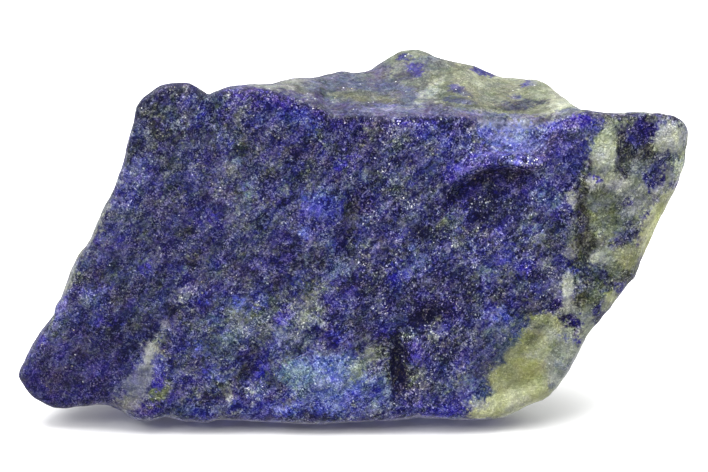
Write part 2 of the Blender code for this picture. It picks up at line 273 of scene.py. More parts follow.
def top_height(p, a):
    """Height of the top surface, which runs back from the front edge to the crest, then falls."""
    a = a + 9.0 * noise(p, 5.0, 41) * eased((p[:, 1] - 1.0) / 4.0)
    edge_down, crest_down, crest_depth, power = (np.interp(a, TOP_TABLE[0], TOP_TABLE[k]) for k in (1, 2, 3, 4))
    edge_depth = np.full(len(p), 0.6)
    edge_height = height_at(edge_down, edge_depth)
    crest_height = height_at(crest_down, crest_depth) + 0.45
    s = (p[:, 1] - edge_depth) / (crest_depth - edge_depth)
    inner = np.clip(s, 0, 1)
    height = edge_height + (crest_height - edge_height) * inner**power
    past = np.maximum(p[:, 1] - crest_depth, 0)
    height = height - 0.50 * past - 0.05 * past * past
    # behind the front edge's own ups and downs the top is one broad slope
    broad = 30.2 - 0.085 * np.abs(p[:, 0] + 4.0) - 0.050 * np.maximum(p[:, 1] - 2.0, 0) * np.abs(p[:, 0] - 5.0) ** 0.9
    mix = eased((p[:, 1] - crest_depth - 0.4) / 3.0)
    return height + mix * (broad - height)


def body(p):
    """The stone: negative inside, positive outside, near its surface about the distance in mm."""
    p = np.asarray(p, dtype=np.float64)
    a, b = on_sheet(p)
    face = front_depth(p, a, b)
    behind = p[:, 1] - face
    rough = 0.34 * noise(p, 9.0, 11) + 0.20 * noise(p, 4.4, 12) + 0.10 * noise(p, 2.3, 13)
    back_rough = 0.9 * noise(p, 10.0, 21) + 0.45 * noise(p, 5.0, 22) + 0.2 * noise(p, 2.6, 23)
    front = -behind + 0.6 * rough
    top = (p[:, 2] - top_height(p, a)) * 0.94 + 0.5 * rough
    d = larger(front, top, EDGE_RADIUS)

    crest = np.interp(a, TOP_TABLE[0], TOP_TABLE[3])
    high = eased((250 - b) / 130)
    widest = 2.2 + high * (crest - 2.2)
    deeper = eased((behind - widest) / 3.2)
    nearer = np.clip((widest - behind) / 2.4, 0, 1) ** 2 * (1 - high)
    side = beyond(a, b, RING)
    side = (side + deeper * (beyond(a, b, BACK_RING) - side)) / UNITS_PER_MM
    side = side + deeper * (0.9 * np.abs(noise(p, 6.0, 31)) + 0.35 * noise(p, 2.8, 32))
    side = side - 0.07 + nearer * (0.20 + 0.45 * eased((a - 560) / 60))
    d = larger(d, side, 0.7)

    back = np.full(len(p), -1e3)
    for point, way in BREAKS:
        n = np.array(way) / np.linalg.norm(way)
        back = larger(back, (p - point) @ n, 1.6)
    d = larger(d, back + back_rough, 1.4)

    # a small knob under the lower front edge, left of the middle, which also meets the ground
    knob = (np.linalg.norm((p - (-7.7, 2.6, 1.3)) / (1.6, 1.9, 1.5), axis=1) - 1) * 1.5
    d = np.minimum(d, knob)
    return larger(d, -p[:, 2], 0.4)


def uphill(p, d, step=0.02):
    return np.stack([body(p + step * axis) - d for axis in np.eye(3)], axis=1) / step


def settle(p, rounds):
    """Moves points onto the surface along the field's slope."""
    for _ in range(rounds):
        d = body(p)
        g = uphill(p, d)
        p = p - np.clip(d / np.maximum((g * g).sum(axis=1), 0.2), -1.0, 1.0)[:, None] * g
    return p


# ---------------------------------------------------------------- fine mesh of the form
def wrapped(field, low, high, step, coarse=4):
    """Closed quad mesh of field = 0: one point in each lattice cell that the surface crosses."""
    low, high = np.array(low, float), np.array(high, float)
    n = np.ceil((high - low) / step / coarse).astype(int) * coarse + 1
    cn = (n - 1) // coarse + 1
    axes = [low[k] + step * coarse * np.arange(cn[k]) for k in range(3)]
    rough = field(np.stack(np.meshgrid(*axes, indexing="ij"), -1).reshape(-1, 3)).reshape(cn)
    near = np.abs(rough) < step * coarse * 1.3 + 0.3
    busy = np.zeros(cn - 1, bool)
    for dx in (0, 1):
        for dy in (0, 1):
            for dz in (0, 1):
                busy |= near[dx : cn[0] - 1 + dx, dy : cn[1] - 1 + dy, dz : cn[2] - 1 + dz]
    closest = [np.minimum((np.arange(n[k]) + coarse // 2) // coarse, cn[k] - 1) for k in range(3)]
    values = np.where(rough[np.ix_(*closest)] < 0, -9.0, 9.0)
    block = [np.minimum(np.arange(n[k]) // coarse, cn[k] - 2) for k in range(3)]
    need = np.zeros(n, bool)
    for shift in range(8):
        at = []
        for k in range(3):
            back = np.where((np.arange(n[k]) % coarse == 0) & (np.arange(n[k]) > 0), np.maximum(block[k] - 1, 0), block[k])
            at.append(back if shift >> k & 1 else block[k])
        need |= busy[np.ix_(*at)]
    where = np.argwhere(need)
    found = np.empty(len(where))
    for s in range(0, len(where), 200000):
        found[s : s + 200000] = field(low + where[s : s + 200000] * step)
    values[need] = found
    solid = values < 0

    count = np.zeros(n - 1, np.int8)
    for dx in (0, 1):
        for dy in (0, 1):
            for dz in (0, 1):
                count += solid[dx : n[0] - 1 + dx, dy : n[1] - 1 + dy, dz : n[2] - 1 + dz]
    cells = np.argwhere((count > 0) & (count < 8))
    number = -np.ones(n - 1, np.int64)
    number[tuple(cells.T)] = np.arange(len(cells))
    total, hits = np.zeros((len(cells), 3)), np.zeros(len(cells))
    corners = np.array([(dx, dy, dz) for dx in (0, 1) for dy in (0, 1) for dz in (0, 1)])
    for i in range(8):
        for j in range(i + 1, 8):
            if np.abs(corners[i] - corners[j]).sum() != 1:
                continue
            fi, fj = values[tuple((cells + corners[i]).T)], values[tuple((cells + corners[j]).T)]
            m = (fi < 0) != (fj < 0)
            t = fi[m] / (fi[m] - fj[m])
            total[m] += corners[i] + t[:, None] * (corners[j] - corners[i])
            hits[m] += 1
    points = low + step * (cells + total / hits[:, None])
    quads = []
    for k in range(3):
        u, v = (k + 1) % 3, (k + 2) % 3
        first, second = [slice(None)] * 3, [slice(None)] * 3
        first[k], second[k] = slice(0, n[k] - 1), slice(1, n[k])
        edges = np.argwhere(solid[tuple(first)] != solid[tuple(second)])
        out = solid[tuple(edges.T)]
        quad = []
        for du, dv in ((1, 1), (0, 1), (0, 0), (1, 0)):
            c = edges.copy()
            c[:, u] -= du
            c[:, v] -= dv
            quad.append(number[tuple(c.T)])
        quad = np.stack(quad, 1)
        quad[~out] = quad[~out][:, ::-1]
        quads.append(quad)
    return points, np.concatenate(quads)


def evened(p, quads, rounds):
    """Slides points along the surface towards the mean of their neighbours."""
    ends = np.concatenate([quads[:, [k, (k + 1) % 4]] for k in range(4)])
    for _ in range(rounds):
        total = np.stack([np.bincount(ends[:, 0], p[ends[:, 1], k], len(p)) for k in range(3)], axis=1)
        count = np.bincount(ends[:, 0], minlength=len(p))
        p = p + 0.5 * (total / count[:, None] - p)
    return p


def point_normals(p, quads):
    n = np.cross(p[quads[:, 2]] - p[quads[:, 0]], p[quads[:, 3]] - p[quads[:, 1]])
    total = np.zeros_like(p)
    for k in range(4):
        for axis in range(3):
            total[:, axis] += np.bincount(quads[:, k], n[:, axis], len(p))
    return total / np.maximum(np.linalg.norm(total, axis=1), 1e-12)[:, None]


# Rougher and smoother places of the visible side: across, down, half width, half height, change.
ROUGHER = [
    (440, 230, 120, 110, 0.50), (500, 190, 50, 50, 0.35), (60, 370, 60, 50, -0.45), (120, 330, 60, 60, -0.20),
    (525, 370, 45, 45, -0.50), (600, 180, 40, 60, 0.25), (400, 95, 160, 20, -0.45), (230, 120, 60, 40, 0.05),
    (320, 375, 60, 40, -0.05), (520, 90, 60, 25, -0.20), (170, 110, 40, 30, -0.10),
]


# Small steps, ridges and pits of the side that is drawn, as in RELIEF.
STEPS = [
    (583, 214, 6, 42, -3, -0.26), (588, 248, 9, 13, 0, -0.30), (590, 186, 9, 7, 20, 0.35), (604, 156, 13, 18, 0, 0.30),
    (641, 131, 15, 14, 0, -0.25), (624, 154, 8, 22, -6, -0.40), (669, 138, 14, 15, 0, 0.30), (655, 176, 13, 13, 0, -0.25),
    (568, 290, 6, 22, 4, 0.30), (571, 323, 10, 9, 0, -0.25), (540, 360, 30, 14, -40, 0.15), (597, 258, 10, 9, 0, 0.2),
    (352, 226, 7, 36, 4, -0.30), (334, 214, 9, 20, 0, 0.20), (356, 138, 3.5, 24, 25, -0.35), (347, 150, 5, 28, 25, 0.25),
    (399, 367, 7, 34, 0, -0.25), (419, 351, 7, 13, 0, 0.35), (435, 318, 16, 12, 0, -0.30), (256, 366, 9, 18, 0, -0.30),
    (149, 358, 6, 18, 22, 0.25), (200, 130, 7, 30, -8, -0.25), (456, 196, 7, 14, 25, -0.28), (485, 225, 16, 10, 0, -0.35),
    (450, 179, 14, 7, -34, 0.20), (470, 168, 16, 7, -26, 0.22), (492, 160, 16, 7, -10, 0.25), (522, 160, 24, 7, 6, 0.42),
    (508, 178, 30, 9, 0, -0.38), (470, 188, 18, 9, -24, -0.22), (513, 139, 30, 12, 0, -0.35), (552, 142, 6, 18, 4, 0.30), (300, 325, 18, 12, 0, 0.20),
    (362, 190, 7, 16, 20, 0.25), (378, 235, 14, 10, -40, -0.25), (420, 205, 12, 24, 35, 0.25), (445, 240, 10, 22, 35, -0.30),
    (470, 262, 12, 24, 35, 0.25), (500, 290, 12, 26, 35, -0.25), (398, 300, 16, 10, -30, -0.30), (372, 282, 18, 8, -35, 0.25),
    (330, 345, 14, 6, -20, 0.15), (432, 372, 6, 20, 0, 0.25), (462, 372, 8, 18, 0, 0.20), (540, 200, 10, 24, 10, 0.25),
]


def roughened(p, quads):
    """Adds the small steps, chips and bumps that the large form leaves out."""
    n = point_normals(p, quads)
    a, b = on_sheet(p)
    a = a + 4.0 * noise(p, 1.6, 47)
    b = b + 4.0 * noise(p, 1.6, 48)
    shown = eased(-(n @ AHEAD) * 2.5)
    for u, v, ru, rv, turn, proud in STEPS:
        c, s = math.cos(math.radians(turn)), math.sin(math.radians(turn))
        r2 = (((a - u) * c + (b - v) * s) / ru) ** 2 + ((-(a - u) * s + (b - v) * c) / rv) ** 2
        p = p + n * (proud * np.exp(-r2 * r2) * shown)[:, None]
    amount = np.full(len(p), 0.75)
    for u, v, ru, rv, change in ROUGHER:
        amount += change * np.exp(-(((a - u) / ru) ** 2 + ((b - v) / rv) ** 2)) * eased((4.0 - p[:, 1]) / 3.0 + (130 - b) / 40)
    amount = np.clip(amount, 0.2, 1.5)
    lift = 0.17 * (chips(p, 1.9, 51) - 0.10) + 0.085 * (chips(p, 0.95, 52) - 0.10)
    lift += 0.10 * noise(p, 1.5, 53) + 0.060 * noise(p, 0.75, 54)
    low = eased((p[:, 2] - 0.10) / 0.5)
    p = p + n * (lift * amount * low)[:, None]
    p[:, 2] = np.where(p[:, 2] < 0.02, 0.0, p[:, 2])
    return p, n


points, quads = wrapped(body, (-29.6, -3.2, -0.7), (29.6, 17.6, 32.2), CELL)
points = settle(evened(points, quads, 1), 1)
points, smooth_normals = roughened(points, quads)
print("stone mesh:", len(points), "points,", 2 * len(quads), "triangles", flush=True)

# ---------------------------------------------------------------- minerals
# Colours as they look on the lit stone, 0 to 255.
DEEP = (37, 30, 84)
GRAPE = (54, 47, 104)
PLUM = (68, 60, 114)
INK = (54, 53, 66)
NAVY = (55, 55, 99)
ULTRA = (66, 67, 105)
BLUE = (72, 75, 140)
ROYAL = (60, 55, 142)
VIVID = (98, 84, 172)
TEAL = (84, 92, 140)
VIOLET = (106, 101, 166)
LIGHT = (118, 123, 184)
CLOUD = (108, 124, 164)
SLATE = (70, 72, 96)
ASH = (99, 104, 126)
DUSK = (104, 108, 140)
MAUVE = (131, 130, 156)
MIST = (171, 174, 170)
KHAKI = (146, 149, 126)
SAGE = (128, 134, 124)
OLIVE = (98, 104, 90)
MOSS = (62, 64, 60)
CALCITE = (165, 170, 147)
WHITE = (190, 194, 186)
CREAM = (208, 212, 190)
LIME = (148, 151, 114)
PALE_LIME = (177, 180, 144)
BLACK = (27, 22, 68)
ELECTRIC = (66, 58, 152)
PERI = (102, 110, 190)
AQUA = (110, 128, 160)
WARM = (118, 118, 116)
GREY = (132, 134, 137)
# pale flecks: partly white grains, partly painted glints
FLECK = (186, 188, 196)
FLAX = (122, 127, 98)
OCHRE = (160, 159, 106)
RIM = (148, 153, 144)
# teal of the painted shadow along the step from the blue to the matrix
SHADOW_TEAL = (62, 76, 106)
VEIN = (114, 117, 136)
FERN = (112, 118, 109)
STRAW = (150, 154, 119)

# Strokes on the side that is drawn: colour, across, down, half width, half height, turn in
# degrees, strength. Later strokes lie over earlier ones.
FACE_STROKES = [
    # lower left lobe, dark and even
    (GRAPE, 62, 386, 44, 18, 0, 0.45), (SLATE, 84, 345, 30, 14, -30, 0.25),
    # upper left
    (SLATE, 160, 118, 26, 26, 0, 0.6), (DUSK, 175, 95, 24, 9, 0, 0.4), (BLUE, 204, 112, 6, 14, -30, 0.5),
    (DUSK, 134, 165, 8, 18, 10, 0.5), (BLUE, 128, 200, 10, 18, 20, 0.6), (DUSK, 120, 222, 9, 26, 25, 0.5),
    (BLUE, 225, 141, 7, 6, 0, 0.8), (DUSK, 240, 98, 10, 12, 0, 0.5), (SLATE, 165, 140, 20, 20, 0, 0.4),
    ((98, 101, 136), 232, 168, 10, 12, 20, 0.7), ((98, 101, 136), 246, 186, 9, 16, 0, 0.5), ((98, 102, 136), 236, 222, 12, 14, 0, 0.75),
    (LIGHT, 247, 182, 8, 8, 0, 0.4), (SLATE, 262, 150, 30, 20, 0, 0.4), (BLUE, 214, 215, 6, 5, 0, 0.7),
    (BLUE, 280, 108, 26, 12, 20, 0.45), (LIGHT, 300, 112, 16, 8, 20, 0.4),
    # left
    (BLUE, 144, 270, 8, 7, 0, 0.8), (DUSK, 135, 262, 14, 12, 30, 0.4), (LIGHT, 88, 296, 8, 12, 20, 0.45),
    (NAVY, 120, 275, 30, 26, 0, 0.35), (SLATE, 150, 310, 50, 30, 20, 0.35), (VIOLET, 64, 315, 6, 18, 20, 0.35),
    (DUSK, 183, 292, 10, 8, 0, 0.5), (BLUE, 204, 303, 5, 4, 0, 0.8), (BLUE, 197, 346, 5, 5, 0, 0.85),
    # middle patch
    (BLUE, 320, 210, 24, 19, 0, 0.75), (BLUE, 305, 230, 7, 6, 0, 0.8), (BLUE, 331, 245, 6, 6, 0, 0.8),
    (NAVY, 352, 235, 12, 44, 4, 0.6), (SLATE, 362, 270, 20, 24, 0, 0.4), (NAVY, 344, 140, 8, 34, 22, 0.6),
    (BLUE, 340, 163, 5, 10, 30, 0.6), (SLATE, 322, 130, 16, 14, 0, 0.4), (SLATE, 400, 160, 46, 22, 0, 0.4),
    # upper middle
    (BLUE, 420, 118, 44, 6, 0, 0.35), (VIOLET, 470, 130, 16, 6, 10, 0.5), (BLUE, 440, 140, 22, 10, 20, 0.4),
    (LIGHT, 428, 124, 12, 5, 20, 0.3),
    # scoop and ridge at the upper right: light blue stone, paler still as painted light on the upward slope, and a
    # painted highlight on the ridge
    (LIGHT, 510, 138, 36, 15, 0, 0.85), (VIOLET, 495, 150, 24, 9, 10, 0.6), (LIGHT, 532, 132, 14, 8, 0, 0.5),
    (VIOLET, 460, 165, 26, 6, -22, 0.45), (SLATE, 470, 134, 7, 5, 0, 0.6), (MAUVE, 524, 162, 24, 6, 0, 0.45),
    (VIOLET, 575, 121, 30, 12, -12, 0.70), (ROYAL, 583, 116, 18, 6, 0, 0.5), (BLUE, 560, 135, 16, 12, 0, 0.5),
    # hollow under the ridge: dark blue stone, darker still as painted shade
    (DEEP, 505, 182, 34, 14, 0, 0.75), (DEEP, 462, 196, 14, 11, 0, 0.7), (NAVY, 490, 205, 38, 22, 0, 0.6),
    (BLUE, 470, 210, 9, 12, 0, 0.4), (LIGHT, 530, 188, 8, 12, 0, 0.4), (BLUE, 545, 205, 12, 10, 0, 0.5),
    (DUSK, 545, 180, 10, 16, 10, 0.4), (ASH, 448, 210, 8, 12, 0, 0.5), (ASH, 476, 196, 5, 4, 0, 0.4),
    # centre right
    (SLATE, 420, 215, 30, 40, 0, 0.4), (NAVY, 395, 300, 30, 24, 0, 0.5), (DEEP, 433, 316, 19, 17, 0, 0.8),
    (LIGHT, 415, 262, 14, 10, 0, 0.4), (BLUE, 410, 215, 20, 14, 0, 0.35), (BLUE, 500, 255, 18, 10, 0, 0.55),
    (BLUE, 523, 268, 10, 8, 0, 0.6), (LIGHT, 498, 275, 10, 7, 0, 0.45), (ULTRA, 480, 330, 44, 26, 0, 0.5),
    (LIGHT, 496, 313, 9, 7, 0, 0.6), (DUSK, 552, 275, 14, 24, 0, 0.35), (SLATE, 555, 215, 18, 30, 0, 0.4),
    (NAVY, 462, 275, 24, 12, 20, 0.4), (BLUE, 560, 185, 14, 30, 0, 0.4),
    # grey and greenish speckled ground in the middle
    ((97, 103, 121), 262, 318, 34, 24, 0, 0.65), (ASH, 312, 305, 15, 20, 0, 0.85), (SAGE, 303, 322, 7, 7, 0, 0.5),
    (ASH, 322, 288, 12, 12, 0, 0.6), (LIGHT, 250, 300, 14, 8, 0, 0.35), (WHITE, 323, 325, 4, 4, 0, 0.6),
    (BLUE, 300, 280, 9, 10, 0, 0.6), (BLUE, 260, 302, 7, 8, 0, 0.5), (NAVY, 362, 300, 12, 14, 0, 0.6),
    # pale cloud at the lower middle
    (CLOUD, 325, 378, 46, 26, 0, 0.85), (CLOUD, 300, 372, 22, 18, 0, 0.5), (LIGHT, 345, 395, 40, 18, 0, 0.55),
    (BLUE, 330, 358, 26, 7, 0, 0.45), (BLUE, 290, 402, 30, 10, 0, 0.45), (SAGE, 355, 368, 9, 8, 0, 0.45),
    (SAGE, 368, 355, 10, 16, 30, 0.5), (CLOUD, 378, 395, 14, 16, 0, 0.5), (BLUE, 310, 398, 14, 8, 0, 0.4),
    # dark bands
    (DEEP, 399, 367, 8, 34, 0, 0.85), (DEEP, 258, 364, 11, 18, 0, 0.75), (ROYAL, 262, 372, 8, 12, 0, 0.5),
    (BLUE, 419, 350, 8, 14, 0, 0.85), (BLUE, 410, 366, 6, 8, 0, 0.5), (DUSK, 425, 375, 14, 12, 0, 0.4),
    (BLUE, 442, 380, 6, 12, 0, 0.4), (DUSK, 460, 385, 8, 12, 0, 0.45), (NAVY, 435, 400, 50, 12, 0, 0.45),
    (ROYAL, 450, 410, 40, 6, 0, 0.4),
    # lower left of the middle
    (SLATE, 200, 360, 26, 24, 0, 0.45), (BLUE, 155, 365, 8, 18, 12, 0.6), (ROYAL, 158, 381, 8, 9, 0, 0.85),
    (BLUE, 175, 338, 10, 12, 0, 0.4), (OLIVE, 158, 393, 12, 6, -25, 0.7), (OLIVE, 166, 388, 7, 6, 0, 0.45),
    (ROYAL, 150, 408, 14, 9, 0, 0.6), (SLATE, 215, 385, 30, 14, 0, 0.4), (NAVY, 230, 372, 14, 12, 0, 0.4),
    (BLUE, 215, 412, 44, 6, 0, 0.4), (LIGHT, 256, 394, 8, 6, 0, 0.55), (WHITE, 231, 398, 5, 3, -15, 0.85),
]

# Smaller strokes of the blue face, also firmer.
DETAILS = [
    # upper left
    (ELECTRIC, 204, 112, 4, 8, -10, 0.7), (AQUA, 181, 124, 13, 11, 0, 0.40), (INK, 160, 128, 12, 10, 0, 0.5),
    (DUSK, 137, 162, 5, 7, 15, 0.6), (BLUE, 134, 200, 5, 9, 20, 0.8), (FLECK, 129, 195, 3, 6, 20, 0.35),
    (BLUE, 225, 142, 7, 6, 0, 0.85), (BLUE, 256, 122, 10, 5, 0, 0.7), (PERI, 281, 146, 5, 4, 0, 0.5),
    (MIST, 239, 121, 5, 7, 0, 0.40), (FLECK, 227, 93, 4, 6, 10, 0.45), (GREY, 232, 169, 4, 6, 0, 0.5),
    (AQUA, 237, 161, 6, 5, 0, 0.6), (AQUA, 247, 189, 4.5, 8, 0, 0.8), (WARM, 267, 200, 4, 6, 0, 0.7),
    (WARM, 266, 169, 3, 5, 0, 0.6), (FLECK, 220, 190, 4, 2, 0, 0.8), (ASH, 238, 224, 9, 8, 30, 0.55),
    (DUSK, 236, 236, 6, 5, 0, 0.4), (BLUE, 296, 166, 7, 6, 0, 0.7), (AQUA, 285, 182, 4, 5, 0, 0.5),
    (FLECK, 287, 189, 2, 2.5, 0, 0.9), (WARM, 272, 158, 4, 3, 0, 0.5), (ELECTRIC, 216, 215, 4, 5, 0, 0.8),
    (AQUA, 185, 268, 5, 4, 0, 0.6), (BLUE, 217, 277, 5, 4, 0, 0.6), (ELECTRIC, 143, 269, 6, 6, 0, 0.85),
    (WARM, 197, 255, 6, 4, 0, 0.35), (WARM, 185, 240, 5, 3, 0, 0.35), (WARM, 160, 262, 5, 3, 0, 0.35),
    # rim of the upper edge
    ((62, 50, 124), 248, 91, 28, 5.5, 3, 0.90), ((62, 50, 124), 284, 100, 20, 6.5, 22, 0.90), ((66, 54, 132), 326, 117, 20, 5, 12, 0.75),
    ((66, 56, 128), 368, 121, 22, 4, 2, 0.6), ((66, 56, 128), 412, 121, 26, 4, 0, 0.6),
    (VIOLET, 308, 108, 9, 4, 22, 0.7), (PERI, 304, 112, 12, 4, 24, 0.4), (BLUE, 292, 116, 10, 6, 20, 0.7),
    (PERI, 314, 127, 5, 9, 0, 0.65), (BLUE, 323, 153, 5, 3, 0, 0.7), (ELECTRIC, 348, 160, 3.2, 14, 38, 0.9),
    (GRAPE, 345, 124, 18, 5, -4, 0.6), (INK, 316, 140, 8, 8, 0, 0.4), (WARM, 361, 146, 3, 2, 0, 0.8),
    (ROYAL, 404, 120, 9, 4, 0, 0.8), (GRAPE, 380, 124, 12, 4, 0, 0.6), (ROYAL, 440, 121, 12, 3, 0, 0.5),
    # middle patch and the dark step beside it
    (BLUE, 320, 207, 22, 16, 6, 0.85), (AQUA, 313, 196, 10, 4, -20, 0.5), (PERI, 305, 233, 7, 7, 0, 0.75),
    (AQUA, 332, 245, 5, 6, 0, 0.7), (INK, 352, 222, 8, 30, 3, 0.45), (INK, 352, 205, 8, 12, 0, 0.5),
    (INK, 312, 261, 10, 7, 0, 0.55), (INK, 281, 251, 6, 5, 0, 0.4), (BLUE, 298, 278, 7, 6, 0, 0.75),
    (WARM, 310, 282, 5, 5, 0, 0.7), (AQUA, 339, 271, 12, 8, -10, 0.6), (BLACK, 378, 267, 8, 8, 0, 0.6),
    (FLECK, 363, 264, 3, 4, 0, 0.45), (AQUA, 378, 213, 6, 6, 0, 0.35), (BLACK, 358, 290, 7, 14, 0, 0.6),
    # upper middle and the scoop, whose pale strokes are partly painted light on its upward slope
    (BLUE, 427, 133, 6, 4, 0, 0.7), (BLUE, 444, 142, 10, 5, -20, 0.75), (WARM, 480, 142, 7, 4, 0, 0.75),
    (WARM, 476, 127, 7, 3, 0, 0.5), (BLUE, 467, 140, 5, 8, 0, 0.7), (AQUA, 438, 160, 5, 4, 0, 0.6),
    (SLATE, 405, 140, 20, 10, 20, 0.35), (AQUA, 398, 184, 6, 4, 0, 0.4), (WARM, 385, 191, 5, 5, 0, 0.6),
    (WARM, 402, 218, 3.5, 3, 0, 0.7), (FLECK, 411, 206, 6, 4, 0, 0.35), (BLACK, 398, 206, 7, 7, 0, 0.5),
    (BLACK, 420, 232, 10, 7, -20, 0.45), (BLUE, 425, 172, 12, 5, -20, 0.5), (PERI, 403, 172, 10, 5, 0, 0.3),
    ((122, 126, 208), 512, 137, 32, 14, 2, 0.95), ((140, 148, 212), 522, 134, 16, 8, 0, 0.6), (PERI, 505, 143, 8, 6, 0, 0.6),
    (BLUE, 531, 150, 10, 5, -10, 0.45), (VIVID, 498, 153, 12, 4, 0, 0.5), (PERI, 485, 130, 8, 5, 30, 0.5),
    ((138, 143, 200), 511, 133, 30, 9, 4, 0.80), ((116, 116, 188), 486, 131, 11, 9, 30, 0.7), ((94, 96, 178), 527, 152.5, 17, 4, 0, 0.65),
    ((126, 130, 190), 531, 132, 11, 9, 0, 0.75), ((126, 130, 192), 500, 128, 14, 6, 10, 0.6), ((84, 88, 158), 543, 147, 5, 8, 8, 0.6), ((66, 64, 124), 550, 145, 5, 13, 4, 0.75),
    (GRAPE, 551, 137, 5, 8, 10, 0.7), (VIVID, 559, 139, 4, 3.5, 0, 0.7), ((116, 100, 174), 572, 123, 10, 6, -20, 0.65),
    ((64, 48, 148), 588, 120, 9, 6, -20, 0.85), ((72, 78, 142), 588, 136, 8, 14, 15, 0.7), ((62, 66, 118), 579, 162, 7, 18, 12, 0.6),
    ((74, 84, 150), 599, 122, 5, 8, 10, 0.5),
    # arc ridge and the hollow under it: the pale strokes on the ridge are a painted highlight, the black and deep blue
    # ones in the hollow partly painted shade
    (VIVID, 452, 178, 6, 4, -34, 0.75), (VIVID, 466, 170, 9, 4, -34, 0.75), (VIVID, 482, 163, 9, 4, -18, 0.7),
    (VIOLET, 497, 158, 9, 3.5, -8, 0.7), ((120, 118, 200), 520, 161, 28, 4.5, 6, 0.8), ((172, 172, 222), 518, 161, 11, 3.6, 8, 0.6), ((178, 178, 214), 539, 163, 6, 3, 0, 0.5),
    (VIVID, 530, 168, 6, 3, 20, 0.5), (BLACK, 512, 173, 20, 6, 2, 0.85), (BLACK, 484, 176, 13, 8, -16, 0.7),
    ((50, 42, 128), 498, 181, 7, 7, 0, 0.8), ((44, 36, 110), 475, 190, 9, 8, 0, 0.6), ((48, 40, 120), 522, 186, 8, 6, 0, 0.5), (BLACK, 447, 200, 6, 10, 15, 0.75), (DEEP, 461, 197, 7, 9, 0, 0.7),
    (ELECTRIC, 463, 209, 6, 9, 10, 0.75), (BLACK, 480, 203, 12, 8, 0, 0.65), (ELECTRIC, 512, 191, 5, 10, 20, 0.6),
    (DEEP, 500, 196, 8, 8, 0, 0.5), (WARM, 482, 206, 3, 3, 0, 0.7), (AQUA, 447, 219, 6, 5, 0, 0.7),
    (SAGE, 446, 221, 4, 4, 0, 0.5), (AQUA, 455, 226, 6, 4, -20, 0.5), (WARM, 455, 239, 4, 4, 0, 0.7),
    (WARM, 495, 218, 4, 4, 0, 0.65), (WARM, 470, 229, 8, 5, 0, 0.45), (WARM, 463, 246, 5, 4, 0, 0.4),
    (AQUA, 541, 196, 4, 8, 5, 0.7), (BLUE, 545, 183, 4, 4, 0, 0.8), (VIVID, 559, 213, 4, 5, 0, 0.85),
    (MIST, 572, 198, 4, 8, 4, 0.85), (BLUE, 574, 210, 3.5, 6, 0, 0.7), (AQUA, 555, 202, 6, 8, 0, 0.4),
    (BLUE, 528, 232, 8, 9, -30, 0.75), (AQUA, 537, 227, 7, 4, -30, 0.7), (BLUE, 509, 257, 10, 6, -20, 0.8),
    (PERI, 506, 262, 6, 4, 0, 0.4), (ROYAL, 524, 272, 6, 6, 0, 0.85), (ROYAL, 503, 241, 5, 4, 0, 0.6),
    (AQUA, 419, 260, 8, 6, 0, 0.7), (SAGE, 420, 259, 4, 3, 0, 0.5), (AQUA, 412, 250, 8, 4, 0, 0.5),
    (WARM, 387, 259, 5, 6, 0, 0.6), (ROYAL, 399, 274, 13, 8, 0, 0.7), (DEEP, 384, 236, 8, 10, 0, 0.5),
    (BLUE, 384, 226, 8, 6, 0, 0.6), (BLUE, 402, 236, 6, 7, 0, 0.6), (PERI, 437, 252, 8, 5, -20, 0.4),
    (MIST, 571, 252, 4, 8, 4, 0.6), (WARM, 549, 246, 6, 10, 0, 0.45), (AQUA, 484, 272, 10, 6, 0, 0.45),
    (INK, 487, 240, 10, 5, -20, 0.45), (WARM, 500, 247, 5, 4, 0, 0.5), (GRAPE, 500, 230, 14, 8, -30, 0.4),
    # centre, low
    (BLACK, 430, 317, 20, 11, -10, 0.75), (WARM, 439, 320, 4, 3, 0, 0.75), (MIST, 437, 336, 4, 4, 0, 0.7),
    (VIVID, 416, 353, 7, 12, 12, 0.75), (ELECTRIC, 413, 356, 6, 8, 0, 0.5), (FLECK, 410, 338, 6, 4, 0, 0.5),
    (BLACK, 400, 350, 6, 20, 6, 0.65), (DEEP, 398, 386, 8, 14, 4, 0.8), (GREY, 421, 372, 5, 10, 10, 0.6),
    (VIOLET, 444, 383, 4, 7, 0, 0.75), (WARM, 459, 376, 4, 8, 0, 0.7), (AQUA, 468, 382, 5, 8, 0, 0.6),
    (WARM, 447, 393, 4, 3, 0, 0.6), (AQUA, 379, 383, 10, 13, 10, 0.55), (BLUE, 376, 392, 8, 10, 0, 0.5),
    (PERI, 506, 314, 8, 6, 0, 0.85), (ROYAL, 516, 305, 8, 5, 0, 0.7), (VIOLET, 488, 282, 8, 7, 0, 0.6),
    (FLECK, 456, 308, 6, 4, 20, 0.40), (FLECK, 379, 303, 7, 6, 20, 0.35), (GREY, 500, 281, 3, 3, 0, 0.8),
    # the teal stroke at the end of the next line is painted shadow along the blue step
    (PLUM, 535, 280, 7, 4, 0, 0.7), (ROYAL, 523, 273, 6, 3, 0, 0.6), (SHADOW_TEAL, 505, 340, 8, 22, 30, 0.4),
    (AQUA, 493, 330, 8, 5, -20, 0.4), (WARM, 513, 330, 8, 6, 0, 0.35), (AQUA, 396, 290, 7, 8, 0, 0.4),
    (GREY, 554, 290, 5, 9, 0, 0.7), (DEEP, 556, 306, 5, 7, 0, 0.7), (INK, 498, 300, 8, 6, 0, 0.45),
    # lower left of the middle
    (INK, 170, 307, 6, 8, 0, 0.7), (FLECK, 183, 293, 5, 6, 0, 0.50), (PERI, 204, 302, 4.5, 3.5, 0, 0.95),
    (PERI, 239, 302, 6, 8, 0, 0.85), (BLUE, 255, 298, 6, 6, 0, 0.8), (PERI, 263, 303, 4, 4, 0, 0.8),
    (GREY, 235, 318, 7, 5, 0, 0.5), (GREY, 269, 329, 4, 3, 0, 0.9), (WARM, 257, 312, 7, 6, 0, 0.75),
